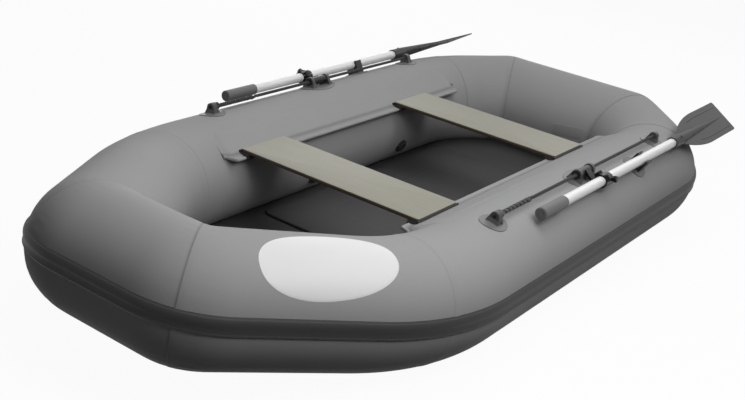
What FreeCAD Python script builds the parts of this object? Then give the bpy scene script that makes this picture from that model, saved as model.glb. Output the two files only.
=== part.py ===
import FreeCAD, Part
import math
import os

# An inflatable rowing boat for two, parked on a floor.
# Millimetres, +X to the bow, +Y to port, +Z up, origin at the bottom centre of the hull.

V = FreeCAD.Vector

# Tube ring: eight panels round an octagon, bow and stern raised
tube_diameter = 340.0
side_centre_y = 467.0          # tube centre line of the two long sides
bow_shoulder_x = 687.0
bow_x = 1216.0
bow_half_width = 169.0
bow_rise = 70.0
stern_shoulder_x = -1006.0
stern_x = -1216.0
stern_half_width = 253.0
stern_rise = 27.0
bow_bend_radius = 719.0        # soft bends where the sides turn to the bow and stern
stern_bend_radius = 348.0
skin_gap = 0.2                 # glue line under whatever is bonded to the tubes

# Rubber rub rail round the outside
rail_top_angle = 12.5
rail_bottom_angle = -4.0
rail_thickness = 6.0
rail_ridge_height = 3.0

# Floor
floor_height = 20.0
floor_sheet_thickness = 3.0
floor_tuck_share = 0.3         # of a tube radius, inwards of the centre line, where the sheet ends
mat_thickness = 9.0
mat_bow_x = 265.0
mat_stern_margin = 126.0       # from the stern shoulders
mat_side_margin = 32.0         # from the tubes' skin at the mat's height
mat_corner_radius = 25.0
mat_gap = 0.3

# Seats
seat_top_height = 294.0
seat_thickness = 12.0
seat_width = 213.0
seat_corner_radius = 8.0
bow_seat_x = 340.0
stern_seat_x = -536.0
plank_inset = 1.5              # each end of a plank inboard of the bead's centre

# Seat rails, each a bonded strip with a bead along its lower edge
seat_rail_span = 20.0          # degrees of the tube that the strip covers
seat_rail_strip_thickness = 2.2
seat_rail_bead_radius = 4.0
seat_rail_bead_standoff = 6.0
seat_rail_end_margin = 5.0     # from the bends of the tubes

# Shoes that hook the planks to the beads
shoe_height = 16.0             # underside of the plank over the bead's centre
shoe_clearance = 0.35
shoe_wall = 4.6
shoe_overhang = 5.0
shoe_inboard = 14.0            # flanks of the shoe from the bead's centre
shoe_outboard = 9.0

# Oarlocks
lock_angle = 79.0              # where the lugs stand on the tube, 90 is its top
lock_axle_height = 20.4
lug_spacing = 89.5
lug_thickness = 14.0
lug_radius = 17.0
lug_foot_width = 50.0
lug_edge_radius = 2.0
lug_flare = 8.0                # the foot spreads this far along the boat, away from the swivel
lug_flare_height = 14.0        # and dies out this high over the skin
lock_patch_length = 170.0
lock_patch_width = 92.0
patch_thickness = 2.4
axle_radius = 9.0
axle_bore_radius = 6.0
axle_flange_radius = 13.0
axle_flange_thickness = 3.0
axle_seat_clearance = 0.1

# Swivel between the two lugs of the oarlock, and the oar's pin on it
swivel_x = -195.0
swivel_side_gap = 3.0          # between the hub and each lug
swivel_hub_radius = 14.0
swivel_arm_width = 30.0
swivel_plate_thickness = 5.0
swivel_rib_height = 6.0
swivel_disc_radius = 15.0
swivel_reach = 52.5            # the oar's axis from the axle's, along the arm
swivel_rise = 38.0             # and along the pin
pin_lean = 42.0                # the pin leans outboard from upright by this much
pin_radius = 4.0
pin_head_radius = 8.0
pin_head_height = 6.0
pin_head_edge = 2.5
running_clearance = 0.05
face_clearance = 0.3

# Oars, stowed along the sides with the blades aft
shaft_radius = 16.0
shaft_wall = 2.0
oar_grip_x = 235.0
grip_length = 150.0
grip_radius = 18.0
grip_edge_radius = 3.6
grip_end_wall = 15.0
grip_ring_radius = 11.0        # a moulded ring groove in the grip's end
grip_ring_width = 2.5
grip_ring_depth = 1.5
blade_root_x = -790.0
blade_tip_x = -1340.0
blade_width = 130.0
blade_thickness = 4.0
blade_shoulder_share = 0.56    # of the way from the socket's mouth to the tip, the sides run straight
blade_corner_radius = 10.0
blade_feather = 9.0            # degrees that the blade is turned in the clamp
blade_socket_length = 70.0
blade_socket_radius = 20.0
blade_socket_depth = 60.0
blade_spine_end = 45.0         # the middle rib dies out this far from the tip
blade_spine_tip_radius = 3.2
blade_rib_radius = 3.4
blade_rib_inset = 20.0         # side ribs from the blade's edge
blade_rib_share = 0.42         # of the way from the socket's mouth to the tip, they begin
blade_rib_end = 28.0           # from the tip
blade_screw_inset = 56.0
blade_screw_radius = 4.0
blade_screw_height = 2.0

# Clamp round the shaft: a split collar on the pin, bolted ears inboard, and a hand screw outboard
clamp_wall = 5.0
clamp_fore = 16.0              # ends of the collar from the pin's axis
clamp_aft = 32.0
clamp_seat_width = 22.0        # flats under the pin's head and over the swivel's disc
clamp_seat_length = 26.0
clamp_split = 2.0
ear_reach = 30.0
ear_height = 17.0
ear_length = 24.0
ear_corner_radius = 4.25
ear_bolt_radius = 4.0
ear_bolt_height = 3.0
screw_lean = 30.0              # the hand screw from the pin, outboard
screw_setback = 21.0           # its axis aft of the pin's
screw_boss_radius = 6.5
screw_radius = 3.0
screw_start = 26.0             # underside of its knob from the shaft's axis
knob_radius = 10.0
knob_height = 11.0
knob_edge_radius = 3.0
knob_flute_radius = 2.2
knob_flute_count = 6

# Rubber oar holders
holder_x = -520.0
holder_length = 36.0
holder_wall = 7.0
holder_lip = 11.0
holder_edge_radius = 3.0       # on the tips of the prongs
holder_patch_length = 96.0
holder_patch_width = 84.0

# Lifeline lugs and lifelines
line_lug_bow_x = 377.0
line_lug_stern_x = -790.0
line_lug_length = 20.0
line_lug_radius = 14.0
line_lug_foot_width = 40.0
line_lug_flare = 6.0
line_patch_length = 92.0
line_patch_width = 78.0
lifeline_radius = 5.2
lifeline_clearance = 0.4

# Valves on the inner side of the starboard tube
valve_angle = 201.5
valve_bow_x = 30.0
valve_stern_x = -520.0
valve_flange_radius = 26.0
valve_flange_height = 4.8      # heights over the tube's skin
valve_cap_radius = 19.0
valve_cap_height = 11.4
valve_notch_radius = 1.6
valve_notch_count = 12
valve_dish_radius = 14.0       # hollow in the cap, with a cross of spokes left in it
valve_dish_depth = 4.0
valve_spoke_width = 3.5

tube_radius = tube_diameter / 2
shaft_bore_radius = shaft_radius - shaft_wall
lug_fore_x = swivel_x + lug_spacing / 2
lug_aft_x = swivel_x - lug_spacing / 2
swivel_hub_length = lug_spacing - lug_thickness - 2 * swivel_side_gap
X = V(1, 0, 0)
Y = V(0, 1, 0)
Z = V(0, 0, 1)


def rotate(vector, axis, degrees):
    """The vector turned about the axis through the origin."""
    return FreeCAD.Rotation(axis, degrees).multVec(vector)


# Corners of the ring's centre line, port first, anticlockwise seen from below
corners = [
    V(bow_shoulder_x, side_centre_y, tube_radius),
    V(bow_x, bow_half_width, tube_radius + bow_rise),
    V(bow_x, -bow_half_width, tube_radius + bow_rise),
    V(bow_shoulder_x, -side_centre_y, tube_radius),
    V(stern_shoulder_x, -side_centre_y, tube_radius),
    V(stern_x, -stern_half_width, tube_radius + stern_rise),
    V(stern_x, stern_half_width, tube_radius + stern_rise),
    V(stern_shoulder_x, side_centre_y, tube_radius),
]
bend_radii = [bow_bend_radius, 0, 0, bow_bend_radius, stern_bend_radius, 0, 0, stern_bend_radius]
port_bow_corner = 0
port_stern_corner = 7
panel_names = [
    "tube_side_port", "tube_bow_port", "tube_bow", "tube_bow_starboard",
    "tube_side_starboard", "tube_stern_starboard", "tube_stern", "tube_stern_port",
]


def ringFrames():
    """Direction of each panel and its outward normal, carried round the ring without twist."""
    count = len(corners)
    directions = []
    for i in range(count):
        run = corners[i] - corners[i - 1]
        directions.append(run / run.Length)
    normals = [Y]
    for i in range(1, count):
        axis = directions[i - 1].cross(directions[i])
        turn = math.degrees(directions[i - 1].getAngle(directions[i]))
        normals.append(rotate(normals[-1], axis, turn))
    return directions, normals


directions, normals = ringFrames()


def bendBack(i):
    """How far before corner i its bend begins."""
    turn = directions[i].getAngle(directions[(i + 1) % len(corners)])
    return bend_radii[i] * math.tan(turn / 2)


def sweepPanel(i, profile):
    """Carries a flat profile along panel i, from the mitre or half bend at one end to the other.

    The profile function draws the section for a point, the outward normal and the panel's direction.
    """
    d = directions[i]
    n = normals[i]
    start = corners[i - 1]
    end = corners[i]
    pieces = []
    trims = []
    for corner, radius, back, other, sign in (
        (start, bend_radii[i - 1], bendBack(i - 1), directions[i - 1], -1),
        (end, bend_radii[i], bendBack(i), directions[(i + 1) % len(corners)], 1),
    ):
        turn = d.getAngle(other)
        if radius:
            cut = corner - d * back * sign
            inward = (other * sign - d * (d.dot(other) * sign))
            inward = inward / inward.Length
            axis = (d * sign).cross(inward)
            bend = profile(cut, n, d).revolve(cut + inward * radius, axis, math.degrees(turn / 2))
            pieces.append(bend)
            if sign < 0:
                start = cut
            else:
                end = cut
        else:
            # Run on past the corner by more than the mitre's slant, then cut
            over = 2 * tube_radius * math.tan(turn / 2)
            mitre = (d + other) / (d + other).Length * sign
            trims.append((corner, mitre))
            if sign < 0:
                start = corner - d * over
            else:
                end = corner + d * over
    pieces.append(profile(start, n, d).extrude(end - start))
    solid = pieces[0]
    if len(pieces) > 1:
        solid = solid.multiFuse(pieces[1:])
    for corner, outward in trims:
        size = 4 * tube_radius
        block = Part.makeBox(size, size, size, V(-size / 2, -size / 2, 0))
        block.Placement = FreeCAD.Placement(corner, FreeCAD.Rotation(Z, outward))
        solid = solid.cut(block)
    return solid.removeSplitter()


def circleProfile(radius):
    """A round section."""
    def draw(point, outward, along):
        return Part.Face(Part.Wire(Part.makeCircle(radius, point, along)))
    return draw


def railProfile(point, outward, along):
    """The rub rail's section: a band on the tube with two rounded ridges and a groove."""
    up = outward.cross(along)
    if up.z < 0:
        up = up * -1

    def at(radius, degrees):
        a = math.radians(degrees)
        return point + outward * (radius * math.cos(a)) + up * (radius * math.sin(a))

    inner = tube_radius + skin_gap
    outer = tube_radius + rail_thickness
    crest = outer + rail_ridge_height
    span = rail_top_angle - rail_bottom_angle
    low = rail_bottom_angle
    marks = [low + span * share for share in (0, 0.06, 0.25, 0.44, 0.56, 0.75, 0.94, 1)]
    edges = [
        Part.Arc(at(inner, marks[7]), at(inner, low + span / 2), at(inner, marks[0])).toShape(),
        Part.LineSegment(at(inner, marks[0]), at(outer, marks[1])).toShape(),
        Part.Arc(at(outer, marks[1]), at(crest, marks[2]), at(outer, marks[3])).toShape(),
        Part.LineSegment(at(outer, marks[3]), at(outer, marks[4])).toShape(),
        Part.Arc(at(outer, marks[4]), at(crest, marks[5]), at(outer, marks[6])).toShape(),
        Part.LineSegment(at(outer, marks[6]), at(inner, marks[7])).toShape(),
    ]
    return Part.Face(Part.Wire(edges))


def makeRubRail():
    """The rail's eight lengths, joined into one ring."""
    lengths = [sweepPanel(i, railProfile) for i in range(len(corners))]
    return lengths[0].multiFuse(lengths[1:]).removeSplitter()


def ringOutline(offset):
    """Plan outline of the centre line moved inwards, as one flat wire of lines and arcs."""
    edges = []
    count = len(corners)
    flat = [V(c.x, c.y, 0) for c in corners]
    runs = []
    for i in range(count):
        run = flat[i] - flat[i - 1]
        runs.append(run / run.Length)
    lines = []
    for i in range(count):
        inward = Z.cross(runs[i])
        if inward.dot(flat[i]) > 0:
            inward = inward * -1
        lines.append((flat[i] + inward * offset, runs[i]))
    points = []
    for i in range(count):
        p, d = lines[i]
        q, e = lines[(i + 1) % count]
        cross = d.x * e.y - d.y * e.x
        t = ((q.x - p.x) * e.y - (q.y - p.y) * e.x) / cross
        points.append(p + d * t)
    ends = []
    for i in range(count):
        turn = runs[i].getAngle(runs[(i + 1) % count])
        radius = bend_radii[i] - offset if bend_radii[i] else 0
        back = radius * math.tan(turn / 2)
        before = points[i] - runs[i] * back
        after = points[i] + runs[(i + 1) % count] * back
        ends.append((before, after, radius, turn, points[i]))
    for i in range(count):
        before, after, radius, turn, point = ends[i]
        previous = ends[i - 1][1]
        edges.append(Part.LineSegment(previous, before).toShape())
        if radius:
            centre_line = (before + after) * 0.5 - point
            centre_line = centre_line / centre_line.Length
            rise = radius * (1 / math.cos(turn / 2) - 1)
            edges.append(Part.Arc(before, point + centre_line * rise, after).toShape())
    return Part.Wire(edges)


def makeFloorSheet(tubes):
    """The bottom fabric: flat amidships, folded up to the raised bow and stern tubes."""
    bow_slope = bow_rise / (bow_x - bow_shoulder_x)
    stern_slope = stern_rise / (stern_shoulder_x - stern_x)
    profile = [
        V(stern_x, 0, floor_height + stern_rise),
        V(stern_shoulder_x, 0, floor_height),
        V(bow_shoulder_x, 0, floor_height),
        V(bow_x, 0, floor_height + bow_slope * (bow_x - bow_shoulder_x)),
    ]
    top = [V(p.x, 0, p.z + floor_sheet_thickness) for p in reversed(profile)]
    side = Part.Face(Part.makePolygon(profile + top + [profile[0]]))
    width = 4 * side_centre_y
    side.translate(V(0, -width / 2, 0))
    sheet = side.extrude(V(0, width, 0))
    height = 4 * tube_radius
    plan = Part.Face(ringOutline(tube_radius * floor_tuck_share))
    sheet = sheet.common(plan.extrude(V(0, 0, height)))
    for tube in tubes:
        sheet = sheet.cut(tube)
    return sheet


def makeFloorMat():
    """The flat mat that lies on the floor between the tubes."""
    bottom = floor_height + floor_sheet_thickness + mat_gap
    below_axis = tube_radius - bottom - mat_thickness
    skin_y = side_centre_y - math.sqrt(tube_radius * tube_radius - below_axis * below_axis)
    half = skin_y - mat_side_margin
    stern = stern_shoulder_x + mat_stern_margin
    mat = Part.makeBox(mat_bow_x - stern, 2 * half, mat_thickness, V(stern, -half, bottom))
    upright = [e for e in mat.Edges if abs(e.tangentAt(e.FirstParameter).z) > 0.9]
    return mat.makeFillet(mat_corner_radius, upright)


def onTube(shape, degrees):
    """Moves a shape drawn round the port tube's axis at its top round to the given angle."""
    shape.rotate(V(0, 0, 0), X, degrees - 90)
    shape.translate(V(0, side_centre_y, tube_radius))
    return shape


def onRadius(radius, degrees):
    """A point on a circle round the port tube's axis, at x zero."""
    a = math.radians(degrees)
    return V(0, side_centre_y + radius * math.cos(a), tube_radius + radius * math.sin(a))


def tubeSector(inner, outer, x0, x1, angle0, angle1):
    """A curved strip lying along the port tube between two angles from outboard."""
    middle = (angle0 + angle1) / 2
    edges = [
        Part.Arc(onRadius(outer, angle0), onRadius(outer, middle), onRadius(outer, angle1)).toShape(),
        Part.LineSegment(onRadius(outer, angle1), onRadius(inner, angle1)).toShape(),
        Part.Arc(onRadius(inner, angle1), onRadius(inner, middle), onRadius(inner, angle0)).toShape(),
        Part.LineSegment(onRadius(inner, angle0), onRadius(outer, angle0)).toShape(),
    ]
    face = Part.Face(Part.Wire(edges))
    face.translate(V(x0, 0, 0))
    return face.extrude(V(x1 - x0, 0, 0))


def makePatch(x, degrees, length, width):
    """An oval reinforcing patch bonded to the port tube."""
    shell = Part.makeCylinder(tube_radius + patch_thickness, length, V(x - length / 2, 0, 0), X)
    shell = shell.cut(Part.makeCylinder(tube_radius + skin_gap, length, V(x - length / 2, 0, 0), X))
    oval = Part.Ellipse(V(x, 0, 0), length / 2, width / 2).toShape()
    prism = Part.Face(Part.Wire(oval)).extrude(V(0, 0, 2 * tube_radius))
    return onTube(shell.common(prism), degrees)


def makeLug(x, thickness, radius, foot, axle_height, hole, flares, recess):
    """A tapered lug with a round head and a hole along the boat, drawn at the tube's top.

    Its foot spreads aft and fore by the two flares, and stays clear of a recess round the hole.
    """
    centre = V(x - thickness / 2, 0, tube_radius + axle_height)
    head = Part.makeCylinder(radius, thickness, centre, X)
    # The foot ends inside the patch, as low as the tube falls away under its corners
    base = tube_radius + patch_thickness / 2
    drop = base - foot * foot / (8 * tube_radius)
    reach = centre.z - drop
    half = foot / 2
    # The flanks leave the foot and touch the head
    distance = math.hypot(half, reach)
    lean = math.acos(radius / distance) + math.atan2(half, reach)
    touch_y = radius * math.sin(lean)
    touch_z = centre.z - radius * math.cos(lean)
    outline = [
        V(centre.x, -half, drop), V(centre.x, half, drop),
        V(centre.x, touch_y, touch_z), V(centre.x, -touch_y, touch_z), V(centre.x, -half, drop),
    ]
    wedge = Part.Face(Part.makePolygon(outline)).extrude(V(thickness, 0, 0))
    lug = head.fuse(wedge).removeSplitter()
    # Round the edges that run over the head and down the flanks
    rim = [e for e in lug.Edges if e.BoundBox.XLength < 0.01 and e.BoundBox.ZMax > drop + 1]
    lug = lug.makeFillet(lug_edge_radius, rim)
    aft, fore = flares
    crest = tube_radius + lug_flare_height
    spread = [
        V(centre.x - aft, -half, drop), V(centre.x + thickness + fore, -half, drop),
        V(centre.x + thickness, -half, crest), V(centre.x, -half, crest), V(centre.x - aft, -half, drop),
    ]
    spread = Part.Face(Part.makePolygon(spread)).extrude(V(0, foot, 0))
    flank = Part.Face(Part.makePolygon(outline)).extrude(V(thickness + aft + fore, 0, 0))
    flank.translate(V(-aft, 0, 0))
    flare = spread.common(flank)
    if aft:
        flare = flare.cut(Part.makeCylinder(recess, aft, V(centre.x - aft, 0, centre.z), X))
    if fore:
        flare = flare.cut(Part.makeCylinder(recess, fore, V(centre.x + thickness, 0, centre.z), X))
    length = thickness + aft + fore
    start = V(centre.x - aft, 0, 0)
    keep = Part.makeCylinder(tube_radius + skin_gap, length, start, X)
    bore = Part.makeCylinder(hole, length, start + Z * centre.z, X)
    return lug.fuse(flare).cut(keep).cut(bore)


def makeOarlockBase():
    """Two lugs moulded on one oval patch."""
    patch = makePatch(swivel_x, lock_angle, lock_patch_length, lock_patch_width)
    hole = axle_radius + axle_seat_clearance
    recess = axle_flange_radius + face_clearance
    lugs = []
    for x, flares in ((lug_fore_x, (0, lug_flare)), (lug_aft_x, (lug_flare, 0))):
        lug = makeLug(
            x, lug_thickness, lug_radius, lug_foot_width, lock_axle_height, hole, flares, recess
        )
        lugs.append(onTube(lug, lock_angle))
    return patch.multiFuse(lugs).removeSplitter()


axle_line = onRadius(tube_radius + lock_axle_height, lock_angle)


def makeAxle():
    """The hollow axle through both lugs, with a flange outside each."""
    fore = lug_fore_x + lug_thickness / 2
    aft = lug_aft_x - lug_thickness / 2
    tube = Part.makeCylinder(axle_radius, fore - aft, V(aft, axle_line.y, axle_line.z), X)
    flanges = []
    for x in (fore, aft - axle_flange_thickness):
        flanges.append(Part.makeCylinder(
            axle_flange_radius, axle_flange_thickness, V(x, axle_line.y, axle_line.z), X
        ))
    length = fore - aft + 2 * axle_flange_thickness
    bore = Part.makeCylinder(
        axle_bore_radius, length, V(aft - axle_flange_thickness, axle_line.y, axle_line.z), X
    )
    return tube.multiFuse(flanges).cut(bore).removeSplitter()


# The pin's direction, the sweep plane's outboard direction, and the oar's axis over the pin
lean = math.radians(pin_lean)
pin_up = V(0, math.sin(lean), math.cos(lean))
plane_out = V(0, math.cos(lean), -math.sin(lean))
oar_centre = V(swivel_x, axle_line.y, axle_line.z) + plane_out * swivel_reach + pin_up * swivel_rise
collar_radius = shaft_radius + clamp_wall
plate_top = -(collar_radius + face_clearance)


def inSwivel(shape):
    """Moves a shape drawn with the pin along +Z and the oar's axis at the origin to its place."""
    shape.rotate(V(0, 0, 0), X, -pin_lean)
    shape.translate(oar_centre)
    return shape


def makeArmRib(x):
    """A rib under one edge of the arm, deepest at the hub."""
    under = plate_top - swivel_plate_thickness
    outline = [
        V(x, -swivel_reach, under), V(x, 0, under), V(x, -swivel_reach, under - swivel_rib_height),
        V(x, -swivel_reach, under),
    ]
    return Part.Face(Part.makePolygon(outline)).extrude(V(swivel_plate_thickness, 0, 0))


def makeSwivel():
    """A hub on the axle between the lugs, with a ribbed arm that reaches out under the oar."""
    hub_x = swivel_x - swivel_hub_length / 2
    hub = Part.makeCylinder(
        swivel_hub_radius, swivel_hub_length, V(hub_x, axle_line.y, axle_line.z), X
    )
    disc = Part.makeCylinder(
        swivel_disc_radius, swivel_plate_thickness, V(0, 0, plate_top - swivel_plate_thickness)
    )
    arm = Part.makeBox(
        swivel_arm_width, swivel_reach, swivel_plate_thickness,
        V(-swivel_arm_width / 2, -swivel_reach, plate_top - swivel_plate_thickness)
    )
    inset = swivel_arm_width / 2 - swivel_plate_thickness
    ribs = [makeArmRib(-swivel_arm_width / 2), makeArmRib(inset)]
    arm = inSwivel(disc.multiFuse([arm] + ribs))
    bore = Part.makeCylinder(
        axle_radius + running_clearance, swivel_hub_length, V(hub_x, axle_line.y, axle_line.z), X
    )
    return hub.fuse(arm).cut(bore).removeSplitter()


def makeSwivelPin():
    """The pin that the oar turns on, with a low round head over the clamp."""
    top = collar_radius + face_clearance
    pin = Part.makeCylinder(pin_radius, top - plate_top, V(0, 0, plate_top))
    head = Part.makeCylinder(pin_head_radius, pin_head_height, V(0, 0, top))
    rim = [e for e in head.Edges if e.BoundBox.ZMin > top + pin_head_height - 1]
    head = head.makeFillet(pin_head_edge, rim)
    return inSwivel(pin.fuse(head).removeSplitter())


def alongScrew(shape):
    """Moves a shape drawn round +Z to the hand screw's axis."""
    shape.rotate(V(0, 0, 0), X, -screw_lean)
    shape.translate(V(-screw_setback, 0, 0))
    return shape


def makeClamp():
    """A split collar with flat seats for the pin, ears with a bolt, and a boss for the hand screw."""
    length = clamp_fore + clamp_aft
    collar = Part.makeCylinder(collar_radius, length, V(-clamp_aft, 0, 0), X)
    seat = Part.makeBox(
        clamp_seat_length, clamp_seat_width, 2 * collar_radius,
        V(-clamp_seat_length / 2, -clamp_seat_width / 2, -collar_radius)
    )
    ears = Part.makeBox(ear_length, ear_reach, ear_height, V(-ear_length / 2, -ear_reach, -ear_height / 2))
    outer_edges = [
        e for e in ears.Edges
        if abs(e.tangentAt(e.FirstParameter).z) > 0.9 and e.BoundBox.YMax < 1 - ear_reach
    ]
    ears = ears.makeFillet(ear_corner_radius, outer_edges)
    bolt_y = (collar_radius + ear_reach) / -2
    bolt = Part.makeCylinder(
        ear_bolt_radius, ear_height + 2 * ear_bolt_height, V(0, bolt_y, -ear_height / 2 - ear_bolt_height)
    )
    boss = alongScrew(Part.makeCylinder(screw_boss_radius, screw_start - face_clearance))
    start = V(-clamp_aft, -2 * ear_reach, -clamp_split / 2)
    split = Part.makeBox(length, 2 * ear_reach, clamp_split, start)
    bore = Part.makeCylinder(shaft_radius, length, V(-clamp_aft, 0, 0), X)
    pin_hole = Part.makeCylinder(pin_radius + running_clearance, 2 * collar_radius, V(0, 0, -collar_radius))
    screw_hole = alongScrew(Part.makeCylinder(screw_radius + running_clearance, screw_start))
    body = collar.multiFuse([seat, ears, boss]).cut(split).fuse(bolt)
    return inSwivel(body.cut(bore).cut(pin_hole).cut(screw_hole).removeSplitter())


def makeClampKnob():
    """The hand screw that pinches the shaft: a fluted knob on a short stem."""
    knob = Part.makeCylinder(knob_radius, knob_height, V(0, 0, screw_start))
    rim = [e for e in knob.Edges if e.BoundBox.ZMin > screw_start + knob_height - 1]
    knob = knob.makeFillet(knob_edge_radius, rim)
    flutes = []
    for i in range(knob_flute_count):
        a = 2 * math.pi * i / knob_flute_count
        foot = V(knob_radius * math.cos(a), knob_radius * math.sin(a), screw_start)
        flutes.append(Part.makeCylinder(knob_flute_radius, knob_height, foot))
    stem = Part.makeCylinder(screw_radius, screw_start - shaft_radius, V(0, 0, shaft_radius))
    return inSwivel(alongScrew(knob.cut(Part.makeCompound(flutes)).fuse(stem).removeSplitter()))


def makeShaft():
    """The oar's tube, drilled for the pin."""
    aft = blade_root_x - blade_socket_depth
    fore = oar_grip_x - grip_end_wall
    shaft = Part.makeCylinder(shaft_radius, fore - aft, V(aft - swivel_x, 0, 0), X)
    bore = Part.makeCylinder(shaft_bore_radius, fore - aft, V(aft - swivel_x, 0, 0), X)
    hole = Part.makeCylinder(pin_radius + running_clearance, 4 * shaft_radius, V(0, 0, -2 * shaft_radius))
    return inSwivel(shaft.cut(bore).cut(hole))


def makeGrip():
    """A closed handgrip pushed over the end of the shaft, with rolled ends."""
    x0 = oar_grip_x - grip_length - swivel_x
    grip = Part.makeCylinder(grip_radius, grip_length, V(x0, 0, 0), X)
    grip = grip.makeFillet(grip_edge_radius, [e for e in grip.Edges if e.Length > grip_radius * 5])
    socket = Part.makeCylinder(shaft_radius, grip_length - grip_end_wall, V(x0, 0, 0), X)
    face = V(x0 + grip_length - grip_ring_depth, 0, 0)
    ring = Part.makeCylinder(grip_ring_radius, grip_ring_depth, face, X)
    ring = ring.cut(Part.makeCylinder(grip_ring_radius - grip_ring_width, grip_ring_depth, face, X))
    return inSwivel(grip.cut(socket).cut(ring))


def makeBlade():
    """A spade blade: a socket that tapers into the middle rib, and two side ribs along the edges."""
    mouth = blade_root_x - swivel_x
    tip = blade_tip_x - swivel_x
    shoulder = mouth + (tip - mouth) * blade_shoulder_share
    half = blade_width / 2
    neck_x = mouth - blade_socket_length
    neck = blade_socket_radius - blade_thickness / 2
    # One arc leads from the neck to the straight side and touches it at the shoulder
    run = neck_x - shoulder
    rise = half - neck
    arc_radius = (run * run + rise * rise) / (2 * rise)

    def edgePoint(x, inset):
        reach = arc_radius - inset
        return half - arc_radius + math.sqrt(reach * reach - (x - shoulder) * (x - shoulder))

    middle = (neck_x + shoulder) / 2
    bulge = edgePoint(middle, 0)
    under = -blade_thickness / 2
    outline = [
        Part.Arc(V(neck_x, neck, under), V(middle, bulge, under), V(shoulder, half, under)).toShape(),
        Part.LineSegment(V(shoulder, half, under), V(tip, half, under)).toShape(),
        Part.LineSegment(V(tip, half, under), V(tip, -half, under)).toShape(),
        Part.LineSegment(V(tip, -half, under), V(shoulder, -half, under)).toShape(),
        Part.Arc(V(shoulder, -half, under), V(middle, -bulge, under), V(neck_x, -neck, under)).toShape(),
        Part.LineSegment(V(neck_x, -neck, under), V(neck_x, neck, under)).toShape(),
    ]
    plate = Part.Face(Part.Wire(outline)).extrude(V(0, 0, blade_thickness))
    corners_out = [
        e for e in plate.Edges
        if abs(e.tangentAt(e.FirstParameter).z) > 0.9 and e.BoundBox.XMax < tip + 1
    ]
    plate = plate.makeFillet(blade_corner_radius, corners_out)
    socket = Part.makeCylinder(blade_socket_radius, blade_socket_length, V(neck_x, 0, 0), X)
    spine = Part.makeCone(
        blade_socket_radius, blade_spine_tip_radius, neck_x - tip - blade_spine_end, V(neck_x, 0, 0), X * -1
    )
    ribs = []
    start = mouth + (tip - mouth) * blade_rib_share
    bend = (start + shoulder) / 2
    rib_y = half - blade_rib_inset
    for side in (1, -1):
        head = V(start, side * edgePoint(start, blade_rib_inset), 0)
        elbow = V(bend, side * edgePoint(bend, blade_rib_inset), 0)
        curve = Part.Arc(head, elbow, V(shoulder, side * rib_y, 0)).toShape()
        end = V(tip + blade_rib_end, side * rib_y, 0)
        run = Part.LineSegment(V(shoulder, side * rib_y, 0), end).toShape()
        section = Part.makeCircle(blade_rib_radius, head, curve.tangentAt(curve.FirstParameter))
        ribs.append(Part.Wire([curve, run]).makePipeShell([Part.Wire(section)], True, False))
    screw = Part.makeCylinder(
        blade_screw_radius, blade_socket_radius + blade_screw_height, V(mouth - blade_screw_inset, 0, 0)
    )
    bore = Part.makeCylinder(shaft_radius, blade_socket_depth, V(mouth - blade_socket_depth, 0, 0), X)
    blade = plate.multiFuse([socket, spine, screw] + ribs).cut(bore).removeSplitter()
    blade.rotate(V(0, 0, 0), X, blade_feather)
    return inSwivel(blade)


def makeHolder():
    """A rubber fork on an oval patch that the stowed oar is pressed into."""
    over = V(0, oar_centre.y - side_centre_y, oar_centre.z - tube_radius)
    reach = over.Length
    angle = math.degrees(math.atan2(over.z, over.y))
    patch = makePatch(holder_x, angle, holder_patch_length, holder_patch_width)
    inner = shaft_radius + face_clearance
    outer = inner + holder_wall
    x0 = holder_x - holder_length / 2
    saddle = Part.makeCylinder(outer, holder_length, V(x0, 0, reach), X)
    foot = Part.makeBox(holder_length, 2 * outer, reach - tube_radius, V(x0, -outer, tube_radius))
    prongs = Part.makeBox(holder_length, 2 * outer, holder_lip, V(x0, -outer, reach))
    body = saddle.multiFuse([foot, prongs])
    mouth = Part.makeBox(holder_length, 2 * inner, 3 * outer, V(x0, -inner, reach))
    well = Part.makeCylinder(inner, holder_length, V(x0, 0, reach), X)
    above = Part.makeBox(holder_length, 4 * outer, 2 * outer, V(x0, -2 * outer, reach + holder_lip))
    keep = Part.makeCylinder(tube_radius + skin_gap, holder_length, V(x0, 0, 0), X)
    body = body.cut(mouth).cut(well).cut(above).removeSplitter()
    tips = [e for e in body.Edges if e.BoundBox.ZMin > reach + holder_lip - 1 and e.BoundBox.YLength < 1]
    body = body.makeFillet(holder_edge_radius, tips).cut(keep)
    return patch.fuse(onTube(body, angle)).removeSplitter()


def makeLineLug(x):
    """A lug on a round patch that the end of the lifeline is made fast to."""
    patch = makePatch(x, lock_angle, line_patch_length, line_patch_width)
    hole = lifeline_radius + lifeline_clearance
    flares = (line_lug_flare, line_lug_flare)
    lug = makeLug(
        x, line_lug_length, line_lug_radius, line_lug_foot_width, lock_axle_height, hole, flares, hole
    )
    return patch.fuse(onTube(lug, lock_angle)).removeSplitter()


def makeLifeline():
    """The rope, drawn straight from lug to lug through the hollow axle."""
    fore = line_lug_bow_x + line_lug_length / 2
    aft = line_lug_stern_x - line_lug_length / 2
    return Part.makeCylinder(lifeline_radius, fore - aft, V(aft, axle_line.y, axle_line.z), X)


# The bead lies as far under the planks as the shoes are high, and the planks end over it
bead_orbit = tube_radius + seat_rail_bead_standoff
bead_height = seat_top_height - seat_thickness - shoe_height
bead_angle = 180 - math.degrees(math.asin((bead_height - tube_radius) / bead_orbit))
bead_line = onRadius(bead_orbit, bead_angle)
seat_length = 2 * (bead_line.y - plank_inset)


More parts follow.
